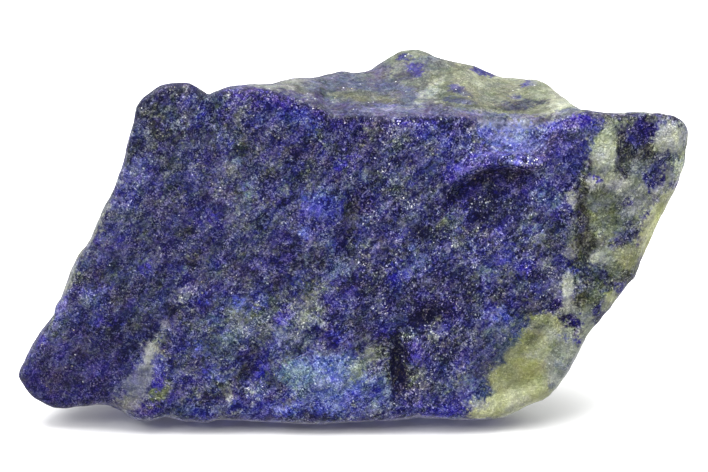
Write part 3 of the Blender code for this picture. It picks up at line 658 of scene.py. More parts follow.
    (GREY, 278, 330, 4, 3.5, 0, 0.85), (ELECTRIC, 284, 318, 6, 8, 0, 0.75), (FLECK, 323, 325, 4.5, 4.5, 0, 0.85),
    (GREY, 307, 300, 11, 6, -30, 0.75), (SAGE, 302, 318, 8, 10, 0, 0.65), (GRAPE, 316, 334, 8, 8, 0, 0.8),
    (BLACK, 334, 339, 6, 6, 0, 0.6), (BLUE, 331, 298, 8, 7, -20, 0.75), (BLACK, 358, 292, 8, 14, 10, 0.6),
    (PERI, 336, 334, 6, 4, 0, 0.5), (BLUE, 172, 332, 9, 8, 0, 0.6), (GRAPE, 176, 326, 8, 5, 0, 0.4),
    (PERI, 197, 347, 4, 4, 0, 0.95), (INK, 183, 359, 14, 9, 0, 0.55), (BLUE, 210, 374, 8, 5, 0, 0.7),
    (BLACK, 251, 360, 12, 13, 0, 0.75), (ELECTRIC, 262, 368, 6, 8, 0, 0.6), (ELECTRIC, 247, 381, 7, 6, 0, 0.55),
    (FLECK, 252, 393, 4, 2.5, 0, 0.7), (FLECK, 231, 398, 5, 2.5, -12, 0.9), (GREY, 226, 391, 6, 5, 0, 0.6),
    (PERI, 214, 388, 4, 4, 0, 0.7), (BLUE, 237, 404, 7, 6, 0, 0.7), (GREY, 235, 413, 4, 3, 0, 0.7),
    (MOSS, 174, 386, 7, 5, 0, 0.5), (OLIVE, 157, 395, 11, 6, -20, 0.65), (MOSS, 160, 397, 8, 4, 0, 0.35),
    (GRAPE, 146, 410, 12, 6, 0, 0.8), (PLUM, 269, 397, 5, 6, 0, 0.7), (ELECTRIC, 205, 417, 14, 4, 0, 0.5),
    (GREY, 290, 340, 10, 8, 0, 0.35), (AQUA, 228, 340, 12, 8, 0, 0.4), (AQUA, 213, 320, 8, 6, 0, 0.35),
    # pale cloud
    (BLUE, 309, 360, 10, 8, 0, 0.60), (AQUA, 300, 368, 10, 6, 0, 0.5), (LIGHT, 341, 383, 12, 9, 10, 0.7),
    (AQUA, 286, 377, 8, 11, 0, 0.7), (SAGE, 359, 372, 9, 6, -30, 0.65), (SAGE, 370, 359, 7, 9, 20, 0.6),
    (WARM, 287, 356, 6, 5, 0, 0.5), (BLUE, 314, 391, 11, 9, 0, 0.7), (PERI, 354, 392, 10, 8, 0, 0.6),
    (BLUE, 372, 392, 8, 10, 0, 0.5), (LIGHT, 322, 371, 9, 6, 0, 0.6), (PERI, 290, 408, 20, 7, 0, 0.5),
    (PERI, 335, 410, 26, 6, 0, 0.6), (WARM, 289, 402, 4, 4, 0, 0.7), (WARM, 353, 408, 4, 6, 0, 0.5),
    (FLECK, 342, 418, 3, 1.5, 0, 0.9), (NAVY, 330, 352, 14, 4, 0, 0.5), (GREY, 325, 350, 6, 8, 0, 0.4),
    ((108, 130, 140), 325, 378, 46, 26, 0, 0.24), ((106, 128, 138), 250, 345, 60, 40, 0, 0.15),
    # vein at the lower left
    (GREY, 164, 326, 5, 8, 20, 0.80), (WARM, 157, 341, 6, 10, 25, 0.90), (GREY, 152, 350, 8, 9, 20, 0.80),
    (VEIN, 144, 372, 11, 16, 24, 0.90), (VEIN, 136, 388, 11, 15, 26, 0.90), (GREY, 128, 404, 11, 9, 20, 0.85),
    (MIST, 149, 358, 9, 9, 15, 0.92), (MIST, 146, 363, 6, 6, 0, 0.6), (GREY, 118, 402, 6, 4, 20, 0.6), (MIST, 141, 368, 3.5, 5, 20, 0.35),
    (ELECTRIC, 159, 381, 7, 8, 0, 0.90), (BLUE, 157, 364, 5, 10, 12, 0.75), (GRAPE, 120, 372, 7, 14, 20, 0.4),
    # left and bottom rims; the grey along the left edge is partly grey stone, partly a painted reflection of the bright
    # surroundings
    (GREY, 112, 190, 4, 14, 25, 0.75), (GREY, 101, 213, 4.5, 18, 26, 0.90), (GREY, 86, 243, 5, 22, 28, 0.95),
    (GREY, 70, 275, 4.5, 18, 24, 0.95), (GREY, 62, 296, 3.5, 10, 20, 0.7), (VIOLET, 58, 314, 5, 16, 22, 0.55),
    (VIOLET, 40, 340, 5, 18, 30, 0.45), (GRAPE, 30, 380, 10, 14, 0, 0.5), (GRAPE, 72, 398, 34, 8, 0, 0.5),
    ((102, 104, 106), 455, 397, 42, 14, 0, 0.24), (ELECTRIC, 439, 412, 34, 3.5, 0, 0.6), (VIOLET, 372, 413, 30, 4, 0, 0.4),
]

# Strokes of the matrix on the right, which have firmer borders.
MATRIX_STROKES = [
    # ground, from the tip down to the lower edge
    (SAGE, 648, 150, 40, 46, 20, 0.95), (SAGE, 612, 205, 34, 70, 22, 0.95), (SAGE, 606, 262, 32, 40, 24, 0.95),
    (SAGE, 603, 145, 14, 34, 8, 0.95), (ASH, 588, 290, 26, 24, 20, 0.9), (SAGE, 566, 330, 22, 34, 38, 0.95),
    (OLIVE, 612, 119, 7, 8, 0, 0.7),
]

# Strokes of its smooth yellow-green part at the lower right, which run into each other.
CLEAR_STROKES = [
    # the two teal strokes are painted shadow that the blue step throws along this part's upper left border
    (SHADOW_TEAL, 516, 346, 8, 30, 31, 0.65), (SHADOW_TEAL, 488, 392, 8, 20, 34, 0.55), (LIME, 547, 326, 15, 16, 31, 0.98),
    (LIME, 537, 344, 20, 18, 31, 0.98), (LIME, 526, 362, 23, 18, 31, 0.98), (LIME, 511, 384, 24, 18, 31, 0.98),
    (LIME, 533, 378, 17, 18, 0, 0.98), (RIM, 566, 350, 14, 34, 32, 0.95), (RIM, 556, 375, 12, 18, 30, 0.9),
    (PALE_LIME, 507, 404, 38, 13, -10, 0.98), (PALE_LIME, 534, 394, 22, 13, -24, 0.95), (PALE_LIME, 480, 413, 12, 6, 0, 0.9),
    (OCHRE, 532, 371, 15, 8, -24, 0.60), (OCHRE, 521, 362, 8, 6, -40, 0.5), (FLAX, 541, 323, 13, 9, 10, 0.9),
    (FLAX, 531, 338, 7, 10, 31, 0.85), (CALCITE, 552, 335, 5, 7, 44, 0.75), (CALCITE, 542, 345, 5, 8, 44, 0.75),
    (CALCITE, 533, 354, 8, 5, -30, 0.75), (CALCITE, 544, 357, 8, 6, 0, 0.7), (OLIVE, 556, 346, 7, 8, 20, 0.5),
    ((120, 128, 122), 563, 364, 8, 11, 22, 0.65), (MIST, 554, 380, 7, 7, 0, 0.75), (DUSK, 552, 387, 3.5, 3.5, 0, 0.6),
    (RIM, 584, 330, 12, 12, 30, 0.9), (RIM, 574, 351, 7, 14, 30, 0.8), (DUSK, 481, 404, 4, 6, 30, 0.5),
    (STRAW, 530, 366, 24, 26, 30, 0.22),
]

# Strokes on the rest of the matrix.
MATRIX_DETAILS = [
    # upper part
    (CALCITE, 604, 154, 13, 18, 0, 0.95), (CALCITE, 610, 138, 9, 10, 0, 0.45), (MIST, 603, 150, 8, 8, 0, 0.2),
    (CALCITE, 612, 179, 18, 7, 0, 0.85), (MIST, 590, 186, 8, 9, 25, 0.90), (MIST, 622, 186, 9, 10, 0, 0.55),
    (ROYAL, 597, 179, 3.6, 3.6, 0, 0.95), (MIST, 575, 201, 4.5, 9, 6, 0.8), (OLIVE, 606, 170, 10, 4, -10, 0.4),
    (INK, 624, 152, 8, 25, -6, 0.90), (INK, 643, 152, 14, 9, 8, 0.80), (MOSS, 622, 168, 8, 9, 0, 0.7),
    (GRAPE, 641, 131, 16.5, 14.5, 0, 0.98), (PLUM, 640, 119, 15, 4, 0, 0.7), (DEEP, 646, 140, 9, 6, 0, 0.5),
    (MIST, 669, 139, 15.5, 15, 20, 0.94), (CALCITE, 672, 140, 9, 11, 20, 0.5), (MIST, 684, 136, 6, 12, 0, 0.7), (MAUVE, 666, 121, 11, 4, 8, 0.75),
    (SLATE, 661, 161, 18, 8, -14, 0.85), (NAVY, 654, 178, 10.5, 11, 0, 0.92), (ASH, 640, 168, 10, 7, 0, 0.5),
    (TEAL, 672, 160, 8, 8, 0, 0.45), (OLIVE, 634, 163, 6, 6, 0, 0.5), (KHAKI, 648, 164, 5, 3, 0, 0.4),
    (MIST, 640, 190, 9, 5, -20, 0.5), (MIST, 662, 192, 10, 8, -30, 0.6), (KHAKI, 655, 204, 14, 12, 30, 0.6),
    # olive ground, and along its left side the dark seam, painted shadow of the step where the blue ends
    (OLIVE, 603, 212, 18, 26, 10, 0.90), (OLIVE, 612, 236, 20, 14, 0, 0.70), (SAGE, 594, 204, 6, 9, 0, 0.6),
    (SAGE, 599, 228, 7, 9, 0, 0.4), (MOSS, 613, 212, 8, 14, 0, 0.35), (GRAPE, 628, 202, 5.5, 4.5, 0, 0.92),
    (MIST, 636, 206, 7, 9, 20, 0.4), (SLATE, 630, 229, 9, 13, 10, 0.80), (NAVY, 622, 240, 17, 6, -30, 0.75),
    (MOSS, 583, 209, 5.5, 34, -2, 0.85), (MOSS, 587, 245, 11, 15, -6, 0.85), (INK, 581, 232, 6, 12, 0, 0.6),
    (INK, 586, 170, 3.5, 14, 10, 0.8), (OLIVE, 600, 246, 8, 6, 0, 0.5), (MOSS, 603, 240, 5, 5, 0, 0.4),
    # lower part
    (MIST, 597, 258, 10, 9, 20, 0.6), (CALCITE, 608, 250, 5, 4, 0, 0.5), (KHAKI, 626, 256, 13, 13, 25, 0.9),
    (SLATE, 596, 276, 18, 12, 10, 0.85), (INK, 604, 281, 12, 8, 0, 0.65), (MOSS, 626, 275, 7, 8, 20, 0.75),
    (OLIVE, 612, 268, 8, 6, 0, 0.6), (BLUE, 573, 270, 5, 4.5, 0, 0.85), (MIST, 575, 252, 4, 9, 0, 0.55),
    (INK, 580, 262, 7, 8, 0, 0.6), (WHITE, 568, 284, 7.5, 14, 2, 0.92), (MIST, 566, 305, 5, 10, 14, 0.92),
    (OLIVE, 588, 297, 13, 12, 20, 0.90), (MOSS, 582, 301, 8, 9, 0, 0.4), (OLIVE, 604, 283, 6, 4, 0, 0.4),
    (DEEP, 571, 321, 10, 7.5, 25, 0.98), (INK, 576, 330, 4.5, 7, 10, 0.8), (RIM, 587, 326, 8, 7, -40, 0.85),
    (ROYAL, 598, 310, 7, 4.5, -40, 0.85), (ROYAL, 577, 342, 3.8, 4.2, 0, 0.95), (ROYAL, 620, 288, 6, 5, -30, 0.75),
    (CALCITE, 608, 302, 5, 12, 38, 0.9), (PALE_LIME, 611, 296, 4, 8, 38, 0.6), (BLUE, 566, 338, 5, 4, 0, 0.45), (SLATE, 559, 312, 5, 6, 0, 0.6),
    # right rim: pale matrix, paler still as painted light of the brightly lit side
    ((160, 166, 154), 679, 168, 6, 18, 14, 0.85), (PALE_LIME, 664, 208, 7, 24, 27, 0.90), (LIME, 648, 238, 8, 22, 27, 0.90),
    ((176, 179, 134), 652, 224, 9, 24, 27, 0.9), (LIME, 632, 262, 9, 10, 30, 0.6), (PALE_LIME, 641, 252, 4, 14, 25, 0.6),
    (SLATE, 686, 148, 3, 8, 0, 0.6), (MAUVE, 615, 114, 26, 2.4, 1, 0.75), (MAUVE, 662, 114.5, 26, 2.4, 2, 0.8),
    (GRAPE, 655, 113, 8, 1.6, 0, 0.5), (GRAPE, 676, 118, 6, 2, 20, 0.4),
    # the blue's border with it at the top
    (FERN, 611, 224, 27, 44, 20, 0.15),
    ((80, 84, 146), 597, 124, 6, 10, 10, 0.85), ((70, 73, 118), 590, 141, 5, 13, 14, 0.85), ((60, 64, 92), 584, 160, 4, 12, 14, 0.7),
]


# Where the front face ends at its upper edge, on the sheet.
EDGE_LINE = [
    (100, 60), (215, 78), (232, 86), (250, 86), (265, 88.5), (280, 93), (300, 99.5), (315, 106.5), (325, 112.5),
    (335, 118), (345, 118), (355, 115.5), (365, 116), (375, 118.5), (385, 120), (395, 117.5), (410, 116.5),
    (430, 117), (450, 116.5), (460, 117.5), (470, 119.5), (480, 123), (490, 126.5), (500, 129.5), (515, 129.5),
    (530, 129), (540, 127), (548, 124), (560, 119), (575, 114.5), (590, 111), (600, 109), (640, 90), (720, 60),
]

# Strokes on the top surface, as above; their paleness is partly painted sheen of the grazing light.
TOP_STROKES = [
    # ground: khaki on the right, blue-grey on the left
    (KHAKI, 505, 92, 90, 34, 10, 0.95), (SAGE, 415, 68, 36, 22, 0, 0.90), (SAGE, 365, 98, 44, 8, 2, 0.85),
    (DUSK, 335, 82, 32, 9, -8, 0.80), (MIST, 284, 86, 26, 8, -6, 0.95), (MIST, 262, 86, 16, 4, -4, 0.9),
    (GREY, 296, 90, 22, 5, 16, 0.5), (SAGE, 306, 88, 12, 6, 0, 0.5), (PLUM, 317, 94, 7, 4, 30, 0.8), (PLUM, 290, 92, 14, 1.8, 18, 0.6),
    (PLUM, 322, 102, 12, 2.5, 14, 0.6), (GREY, 330, 108, 12, 2.5, 10, 0.5), (PLUM, 272, 84, 12, 1.2, 2, 0.4), (DUSK, 310, 86, 10, 6, 0, 0.5),
    (DUSK, 345, 79, 12, 4, 0, 0.6), (SAGE, 365, 77, 12, 4, 0, 0.5), (DUSK, 372, 86, 20, 5, 8, 0.6),
    (KHAKI, 355, 98, 16, 5, 0, 0.7), (KHAKI, 385, 99, 10, 4, 0, 0.5), (BLUE, 398, 88, 14, 5, 12, 0.35),
    (DUSK, 392, 92, 20, 6, 10, 0.55), (ASH, 405, 101, 14, 4, -8, 0.5),
    # hump
    (CALCITE, 410, 54, 18, 5, 0, 0.45), (CALCITE, 396, 66, 12, 10, 0, 0.4), (DUSK, 384, 72, 7, 9, 20, 0.6),
    (DUSK, 430, 63, 12, 8, 0, 0.45), (DUSK, 408, 66, 16, 8, 0, 0.3), (ROYAL, 404, 58, 7.5, 4, 0, 0.95),
    (ROYAL, 415, 70, 8, 7.5, 0, 0.95), (SLATE, 404, 77, 14, 4, -10, 0.55), (BLUE, 424, 63, 4, 2.5, 0, 0.4),
    (SAGE, 440, 66, 12, 6, 0, 0.5), (KHAKI, 437, 80, 10, 8, 0, 0.5), (ASH, 397, 80, 4, 6, 0, 0.4),
    # calcite ridge and the ground to the right of it
    ((176, 180, 172), 427, 94, 18, 5.5, -40, 0.98), (OLIVE, 447, 95, 14, 9, -20, 0.45), (KHAKI, 425, 104, 12, 4, 0, 0.5),
    (ROYAL, 457, 89, 7, 4, 15, 0.7), (TEAL, 465, 94, 9, 3.5, 20, 0.5), (BLUE, 459, 101, 16, 3, 8, 0.65),
    (CALCITE, 470, 80, 16, 7, 20, 0.45), (ROYAL, 484, 71, 11, 4, 22, 0.9), (OLIVE, 500, 88, 20, 8, -10, 0.45),
    (SAGE, 488, 100, 12, 4, 0, 0.5), (ROYAL, 530, 84, 7, 3.6, -8, 0.95), (BLUE, 517, 97, 6, 2.5, 0, 0.7),
    (NAVY, 518, 106, 13, 5, 4, 0.85), (SLATE, 520, 104, 30, 4.5, -6, 0.75), (SLATE, 547, 101, 6, 1.8, 10, 0.7),
    (CALCITE, 549, 109, 13, 5.5, 8, 0.95), (CREAM, 560, 99, 20, 9, 42, 0.95), (CALCITE, 540, 90, 14, 8, 30, 0.7),
    (OLIVE, 500, 108, 14, 3, 0, 0.35), (KHAKI, 520, 112, 20, 2.5, 0, 0.6),
    # mauve band along the front edge, its pale mauve partly dust, partly painted sheen
    ((120, 117, 158), 392, 110, 66, 6.5, 0, 0.95), (PLUM, 348, 106, 14, 3, 0, 0.45), (PLUM, 340, 112, 12, 4, 0, 0.4),
    ((124, 122, 160), 460, 113, 50, 5, 4, 0.9), ((138, 138, 166), 518, 122, 48, 8, 0, 0.9), (MAUVE, 565, 113, 22, 4, -16, 0.9),
    (DUSK, 505, 118, 24, 3, 4, 0.4), (SLATE, 499, 128, 7, 1.8, 18, 0.6), (MIST, 545, 115, 24, 2, -4, 0.5),
    (SLATE, 436, 106, 16, 2, 0, 0.3), (MIST, 470, 108, 20, 2, 4, 0.4), (PLUM, 392, 114, 44, 2, 0, 0.45),
    (VIOLET, 370, 104, 30, 2.4, 3, 0.45), (VIOLET, 452, 112, 26, 2, 6, 0.35), (MIST, 400, 108, 30, 1.8, -2, 0.35),
    (CLOUD, 340, 100, 20, 3, 6, 0.4), (PLUM, 520, 116, 24, 2, 2, 0.35),
]

# Painted light and shade of the drawn side, partly also tone of the stone: places made lighter (+) or
# darker (-) than their paint, such as the lit scoop, ridge and rims, the shaded hollow under the
# ridge and the bounce-lit bottom band: across, down, half width, half height, change.
PAINTED_LIGHT_AND_SHADE = [
    (165, 112, 45, 34, -0.16), (399, 366, 9, 34, -0.34), (148, 380, 14, 26, 0.06), (520, 163, 26, 5, 0.15), (360, 85, 40, 20, -0.06),
    (505, 402, 46, 14, -0.08), (648, 235, 9, 30, 0.10), (500, 195, 34, 20, -0.06), (70, 370, 60, 40, -0.08), (352, 226, 10, 30, 0.06), (655, 222, 8, 22, 0.07),
    (400, 108, 70, 6, 0.0), (430, 316, 18, 10, -0.20), (419, 352, 8, 10, -0.08), (160, 260, 60, 50, -0.06), (415, 148, 45, 24, 0.12),
    (320, 208, 26, 20, 0.08), (470, 280, 60, 34, 0.08), (520, 136, 34, 16, 0.14), (455, 398, 50, 16, 0.25),
    (258, 365, 12, 22, 0.10), (160, 396, 16, 8, 0.14), (505, 400, 34, 12, 0.05), (545, 332, 14, 14, 0.10), (399, 366, 8, 32, -0.22), (606, 160, 12, 24, 0.13), (604, 220, 20, 30, 0.21), (634, 165, 14, 14, 0.18), (680, 170, 8, 20, 0.10),
    (584, 246, 8, 16, -0.20), (415, 72, 26, 10, 0.12), (328, 376, 36, 20, 0.06), (428, 96, 12, 8, 0.10), (500, 82, 50, 12, 0.18),
    (365, 97, 30, 6, -0.08), (668, 138, 14, 16, 0.10), (681, 168, 7, 18, 0.18), (652, 222, 10, 26, 0.08), (505, 402, 40, 12, 0.08),
    (510, 132, 34, 12, 0.26), (300, 360, 90, 42, 0.07), (212, 366, 44, 40, 0.08), (262, 320, 30, 20, -0.04), (585, 148, 16, 30, -0.08), (575, 121, 22, 8, 0.08), (556, 93, 16, 12, -0.04), (450, 350, 45, 45, -0.04), (399, 366, 8, 34, -0.22),
    (415, 145, 42, 24, 0.10), (412, 66, 22, 12, 0.12), (500, 80, 50, 14, 0.12), (556, 98, 14, 10, 0.05), (347, 226, 8, 30, 0.08),
    (566, 360, 12, 30, 0.16), (325, 405, 60, 10, 0.10), (200, 410, 50, 8, 0.10), (155, 357, 8, 12, 0.10),
]

FRONT_LIGHT, TOP_LIGHT = 1.05, 1.72   # how much lighter than its own colour a face looks there


# How much each paint is calcite rather than blue stone: 1 is smooth and clear, 0 is grainy.
PALENESS = {
    SAGE: 0.9, OLIVE: 0.65, MOSS: 0.35, CALCITE: 1.0, WHITE: 1.0, CREAM: 1.0, LIME: 1.0, PALE_LIME: 1.0, KHAKI: 0.9,
    MIST: 0.9, RIM: 1.0, (176, 179, 134): 1.0, OCHRE: 1.0, FLAX: 0.9, GREY: 0.8, VEIN: 1.0, FLECK: 0.6, FERN: 0.9, STRAW: 1.0,
}


def paint_value(paint):
    return np.array(paint, dtype=np.float64) / 255.0


def toward(x, y, t):
    return x + t * (y - x)


def top_part(p, n, a, b):
    """1 on the top surface, 0 on the front and the sides."""
    line = np.interp(a, *np.array(EDGE_LINE, dtype=np.float64).T)
    seen_top = eased((line - b + 1.6 * noise(p, 0.7, 58)) / 2.4 + 0.5)
    return seen_top * eased((n[:, 2] + 0.35) / 0.5)


def host_mottled(colour, mottle, amount):
    """Darker, bluer and greyer patches a millimetre or two wide."""
    for paint, size, seed, level, strength in (
        (PLUM, 2.6, 308, 0.10, 0.45), (GRAPE, 2.3, 301, 0.18, 0.55), (ASH, 2.0, 302, 0.34, 0.42), (BLUE, 1.5, 303, 0.30, 0.50),
        (NAVY, 1.1, 304, 0.26, 0.50), (ASH, 0.9, 305, 0.38, 0.42), (DEEP, 1.4, 306, 0.40, 0.55), (TEAL, 1.0, 307, 0.40, 0.45),
    ):
        colour = toward(colour, paint_value(paint), strength * amount * mottle(size, seed, level))
    return colour


def painted(p, n):
    """Colour of the stone at each point, before its grain, and how much of it is matrix."""
    a, b = on_sheet(p)
    wander_a = 5.0 * noise(p, 2.4, 61) + 4.0 * noise(p, 1.1, 62) + 2.5 * noise(p, 0.55, 63)
    wander_b = 5.0 * noise(p, 2.4, 67) + 4.0 * noise(p, 1.1, 68) + 2.5 * noise(p, 0.55, 69)
    fray = 0.5 * noise(p, 1.3, 60) + 0.5 * noise(p, 0.6, 59)
    patchy = 0.6 * noise(p, 3.2, 64) + 0.4 * noise(p, 1.4, 65)
    tint = noise(p, 2.6, 66)[:, None]
    facing = -(n @ AHEAD)
    seen = eased((facing + 0.02) / 0.20)
    up = eased((n[:, 2] - 0.20) / 0.55)
    gain = toward(FRONT_LIGHT, TOP_LIGHT, up)[:, None]

    # mottles, longer along one slanting direction, which every part of the stone has
    slant = p @ np.array([[0.64, 0.0, 0.77], [0.0, 1.0, 0.0], [-0.77, 0.0, 0.64]]).T * (0.62, 1.0, 1.0)
    swirl = slant + 0.45 * np.stack([noise(slant, 1.0, 55), noise(slant, 1.0, 56), noise(slant, 1.0, 57)], axis=1)

    def mottle(size, seed, amount, soft=0.10):
        field = noise(swirl, size, seed) + 0.45 * noise(swirl, size * 0.45, seed + 200)
        return eased((field - amount) / soft)[:, None]

    # hidden sides: a blue front part and a grey-green body behind it, with blue patches
    bound = 4.2 + 1.8 * noise(p, 6.0, 71) + 0.9 * noise(p, 2.4, 72) + 0.30 * np.clip(14.0 - p[:, 0], -30, 12)
    grey_edge = eased((-14.0 - p[:, 0]) / 2.0) * eased((p[:, 2] - 9.0) / 3.0) * eased((25.0 - p[:, 2]) / 2.5)
    bound = toward(bound, 0.7, grey_edge) - 0.5 * np.clip(p[:, 0] - 11.0, 0, 30)
    inside = eased((p[:, 1] - bound) / 0.7 + 0.5)
    blots = noise(p, 4.6, 73) + 0.55 * noise(p, 2.1, 74) + 0.3 * noise(p, 0.9, 75) + 0.016 * np.clip(-p[:, 0], -10, 25)
    inside = inside * (1 - 0.92 * eased((blots - 0.20) / 0.22))
    hue = noise(p, 3.6, 76)[:, None]
    host = paint_value(ULTRA) + 0.030 * patchy[:, None]
    host = toward(host, paint_value(BLUE), eased(tint * 1.6 - 0.1) * 0.35)
    host = toward(host, paint_value(SLATE), eased(-tint * 1.6 - 0.1) * 0.35)
    lobe = np.exp(-(((a - 70) / 75) ** 2 + ((b - 372) / 55) ** 2))[:, None]
    host = toward(host, paint_value((64, 58, 105)), 0.7 * lobe)
    left = np.exp(-(((a - 160) / 90) ** 2 + ((b - 255) / 100) ** 2))[:, None]
    host = host_mottled(host, mottle, (1.0 - 0.55 * lobe) * (1.0 - 0.28 * left))
    pale = toward(paint_value(SAGE), paint_value(CALCITE), eased(hue * 1.5 + 0.2))
    pale = toward(pale, paint_value(LIME), eased(-hue * 2.2 - 0.5) * 0.8)
    pale = toward(pale, paint_value(OLIVE), eased(noise(p, 2.0, 77)[:, None] * 2.4 - 0.75) * 0.7)
    # the hidden sides are painted darker where they face back, to offset the stronger light that falls there
    hidden = toward(host, pale, inside[:, None]) / toward(FRONT_LIGHT, 1.32, eased(n[:, 1] * 1.4 + 0.2))[:, None]

    def brushed(colour, matrix, strokes, loose_a, loose_b, frayed, soft):
        """Strokes laid over a colour: how far their borders wander across and down, fray and fade."""
        colour, matrix = colour.copy(), matrix.copy()
        for paint, u, v, ru, rv, turn, strength in strokes:
            near = np.abs(a - u) + np.abs(b - v) < 2.0 * (ru + rv) + 24
            if not near.any():
                continue
            c, s = math.cos(math.radians(turn)), math.sin(math.radians(turn))
            loose = min(1.0, (ru * rv) ** 0.5 / 12.0)
            da, db = a[near] - u + loose * loose_a * wander_a[near], b[near] - v + loose * loose_b * wander_b[near]
            r = np.sqrt(((da * c + db * s) / ru) ** 2 + ((-da * s + db * c) / rv) ** 2) + frayed * fray[near]
            w = strength * (1 - eased((r - 1 + 0.55 * soft) / soft))
            colour[near] += w[:, None] * (paint_value(paint) - colour[near])
            matrix[near] += w * (PALENESS.get(paint, 0.0) - matrix[near])
        return colour, matrix

    none = np.zeros(len(p))
    colour, matrix = brushed(host, none, FACE_STROKES, 1.0, 1.0, 0.26, 0.36)
    colour, matrix = brushed(colour, matrix, DETAILS, 0.6, 0.6, 0.45, 0.36)
    colour, matrix = brushed(colour, matrix, MATRIX_STROKES, 0.35, 0.35, 0.22, 0.20)
    colour, matrix = brushed(colour, matrix, CLEAR_STROKES, 0.35, 0.35, 0.16, 0.42)
    colour, matrix = brushed(colour, matrix, MATRIX_DETAILS, 0.35, 0.35, 0.22, 0.22)
    # the top surface: dust and painted sheen, its pale mauve partly standing for the haze of grazing light
    band = np.tile(paint_value(MAUVE), (len(p), 1))
    dust_and_sheen, top_paint_matrix = brushed(band, none, TOP_STROKES, 0.8, 0.30, 0.24, 0.30)
    above = top_part(p, n, a, b)
    front_line = np.interp(a, *np.array(EDGE_LINE, dtype=np.float64).T)
    lined = np.exp(-(((b - front_line + 8) / 9) ** 2)) + 0.9 * np.exp(-(((a - 300) / 34) ** 2)) + 0.25
    wavy = b - 0.6 * front_line + 3.0 * noise(p, 1.5, 341)
    for size, seed, way in ((4.2, 342, 0.34), (2.6, 343, 0.26), (7.0, 344, 0.16)):
        course = noise(np.stack([a / 22, wavy / size, 0 * a], axis=1), 1.0, seed)
        dust_and_sheen = dust_and_sheen * (1 + way * np.clip(lined, 0, 1.1) * course)[:, None]
    colour, matrix = toward(colour, dust_and_sheen, above[:, None]), toward(matrix, top_paint_matrix, above)

    # painted light and shade: the colour is made lighter or darker at the places listed above
    shading = np.ones(len(p))
    for u, v, ru, rv, change in PAINTED_LIGHT_AND_SHADE:
        shading += change * np.exp(-(((a - u) / ru) ** 2 + ((b - v) / rv) ** 2))
    # the blue is richer and a little deeper than its paints once the pale sheen lies over it
    blue = ((1 - matrix) * (1 - above))[:, None]
    middle = colour @ np.array([0.21, 0.72, 0.07])
    colour = colour + 0.125 * blue * (colour - middle[:, None])
    colour = colour * (shading[:, None] - 0.045 * blue)
    calm = ((1 - 0.7 * matrix) * (1 - 0.55 * above))[:, None] * 0.055
    for size, seed, level, way in ((1.9, 311, 0.18, -1.0), (1.0, 312, 0.22, -0.8), (1.3, 313, 0.22, 1.0), (0.7, 314, 0.28, 0.9)):
        colour = colour + way * calm * mottle(size, seed, level)
    for size, seed, level, way in ((1.7, 321, 0.22, -1.0), (0.9, 322, 0.26, -1.0), (1.4, 323, 0.20, 1.0), (0.8, 324, 0.26, 1.0)):
        colour = colour + way * (0.040 * (1 - 0.6 * above) * (1 - 0.3 * matrix))[:, None] * mottle(size, seed, level) * np.array([0.35, 0.47, -0.81])
    colour = toward(hidden, colour / gain, seen[:, None])
    matrix = toward(inside, matrix, seen)
    return colour, matrix


# Places with more painted glints (bright flakes in the colour), or fewer: across, down, half width, half height, how
# many more.
GLINTS = [
    (399, 368, 7, 34, -0.5), (518, 162, 16, 5, 2.6), (539, 163, 8, 4, 2.4), (252, 392, 7, 4, 2.5), (262, 390, 4, 4, 1.5), (410, 336, 8, 5, 1.6),
    (430, 320, 12, 8, 1.2), (437, 336, 5, 5, 1.6), (220, 190, 6, 4, 2.0), (363, 264, 6, 7, 1.6), (379, 304, 9, 7, 1.8),
    (456, 308, 9, 6, 1.4), (421, 374, 7, 14, 1.2), (227, 94, 6, 8, 0.7), (308, 108, 14, 5, 1.4), (136, 165, 6, 14, 0.7),
    (130, 198, 5, 14, 0.8), (410, 205, 12, 8, 1.3), (390, 125, 26, 12, 0.4), (484, 205, 12, 10, 0.5), (375, 215, 8, 20, 0.8),
    (480, 360, 40, 30, 0.4), (545, 290, 24, 30, 0.6), (262, 320, 40, 24, 0.5), (183, 293, 6, 6, 1.5),
]


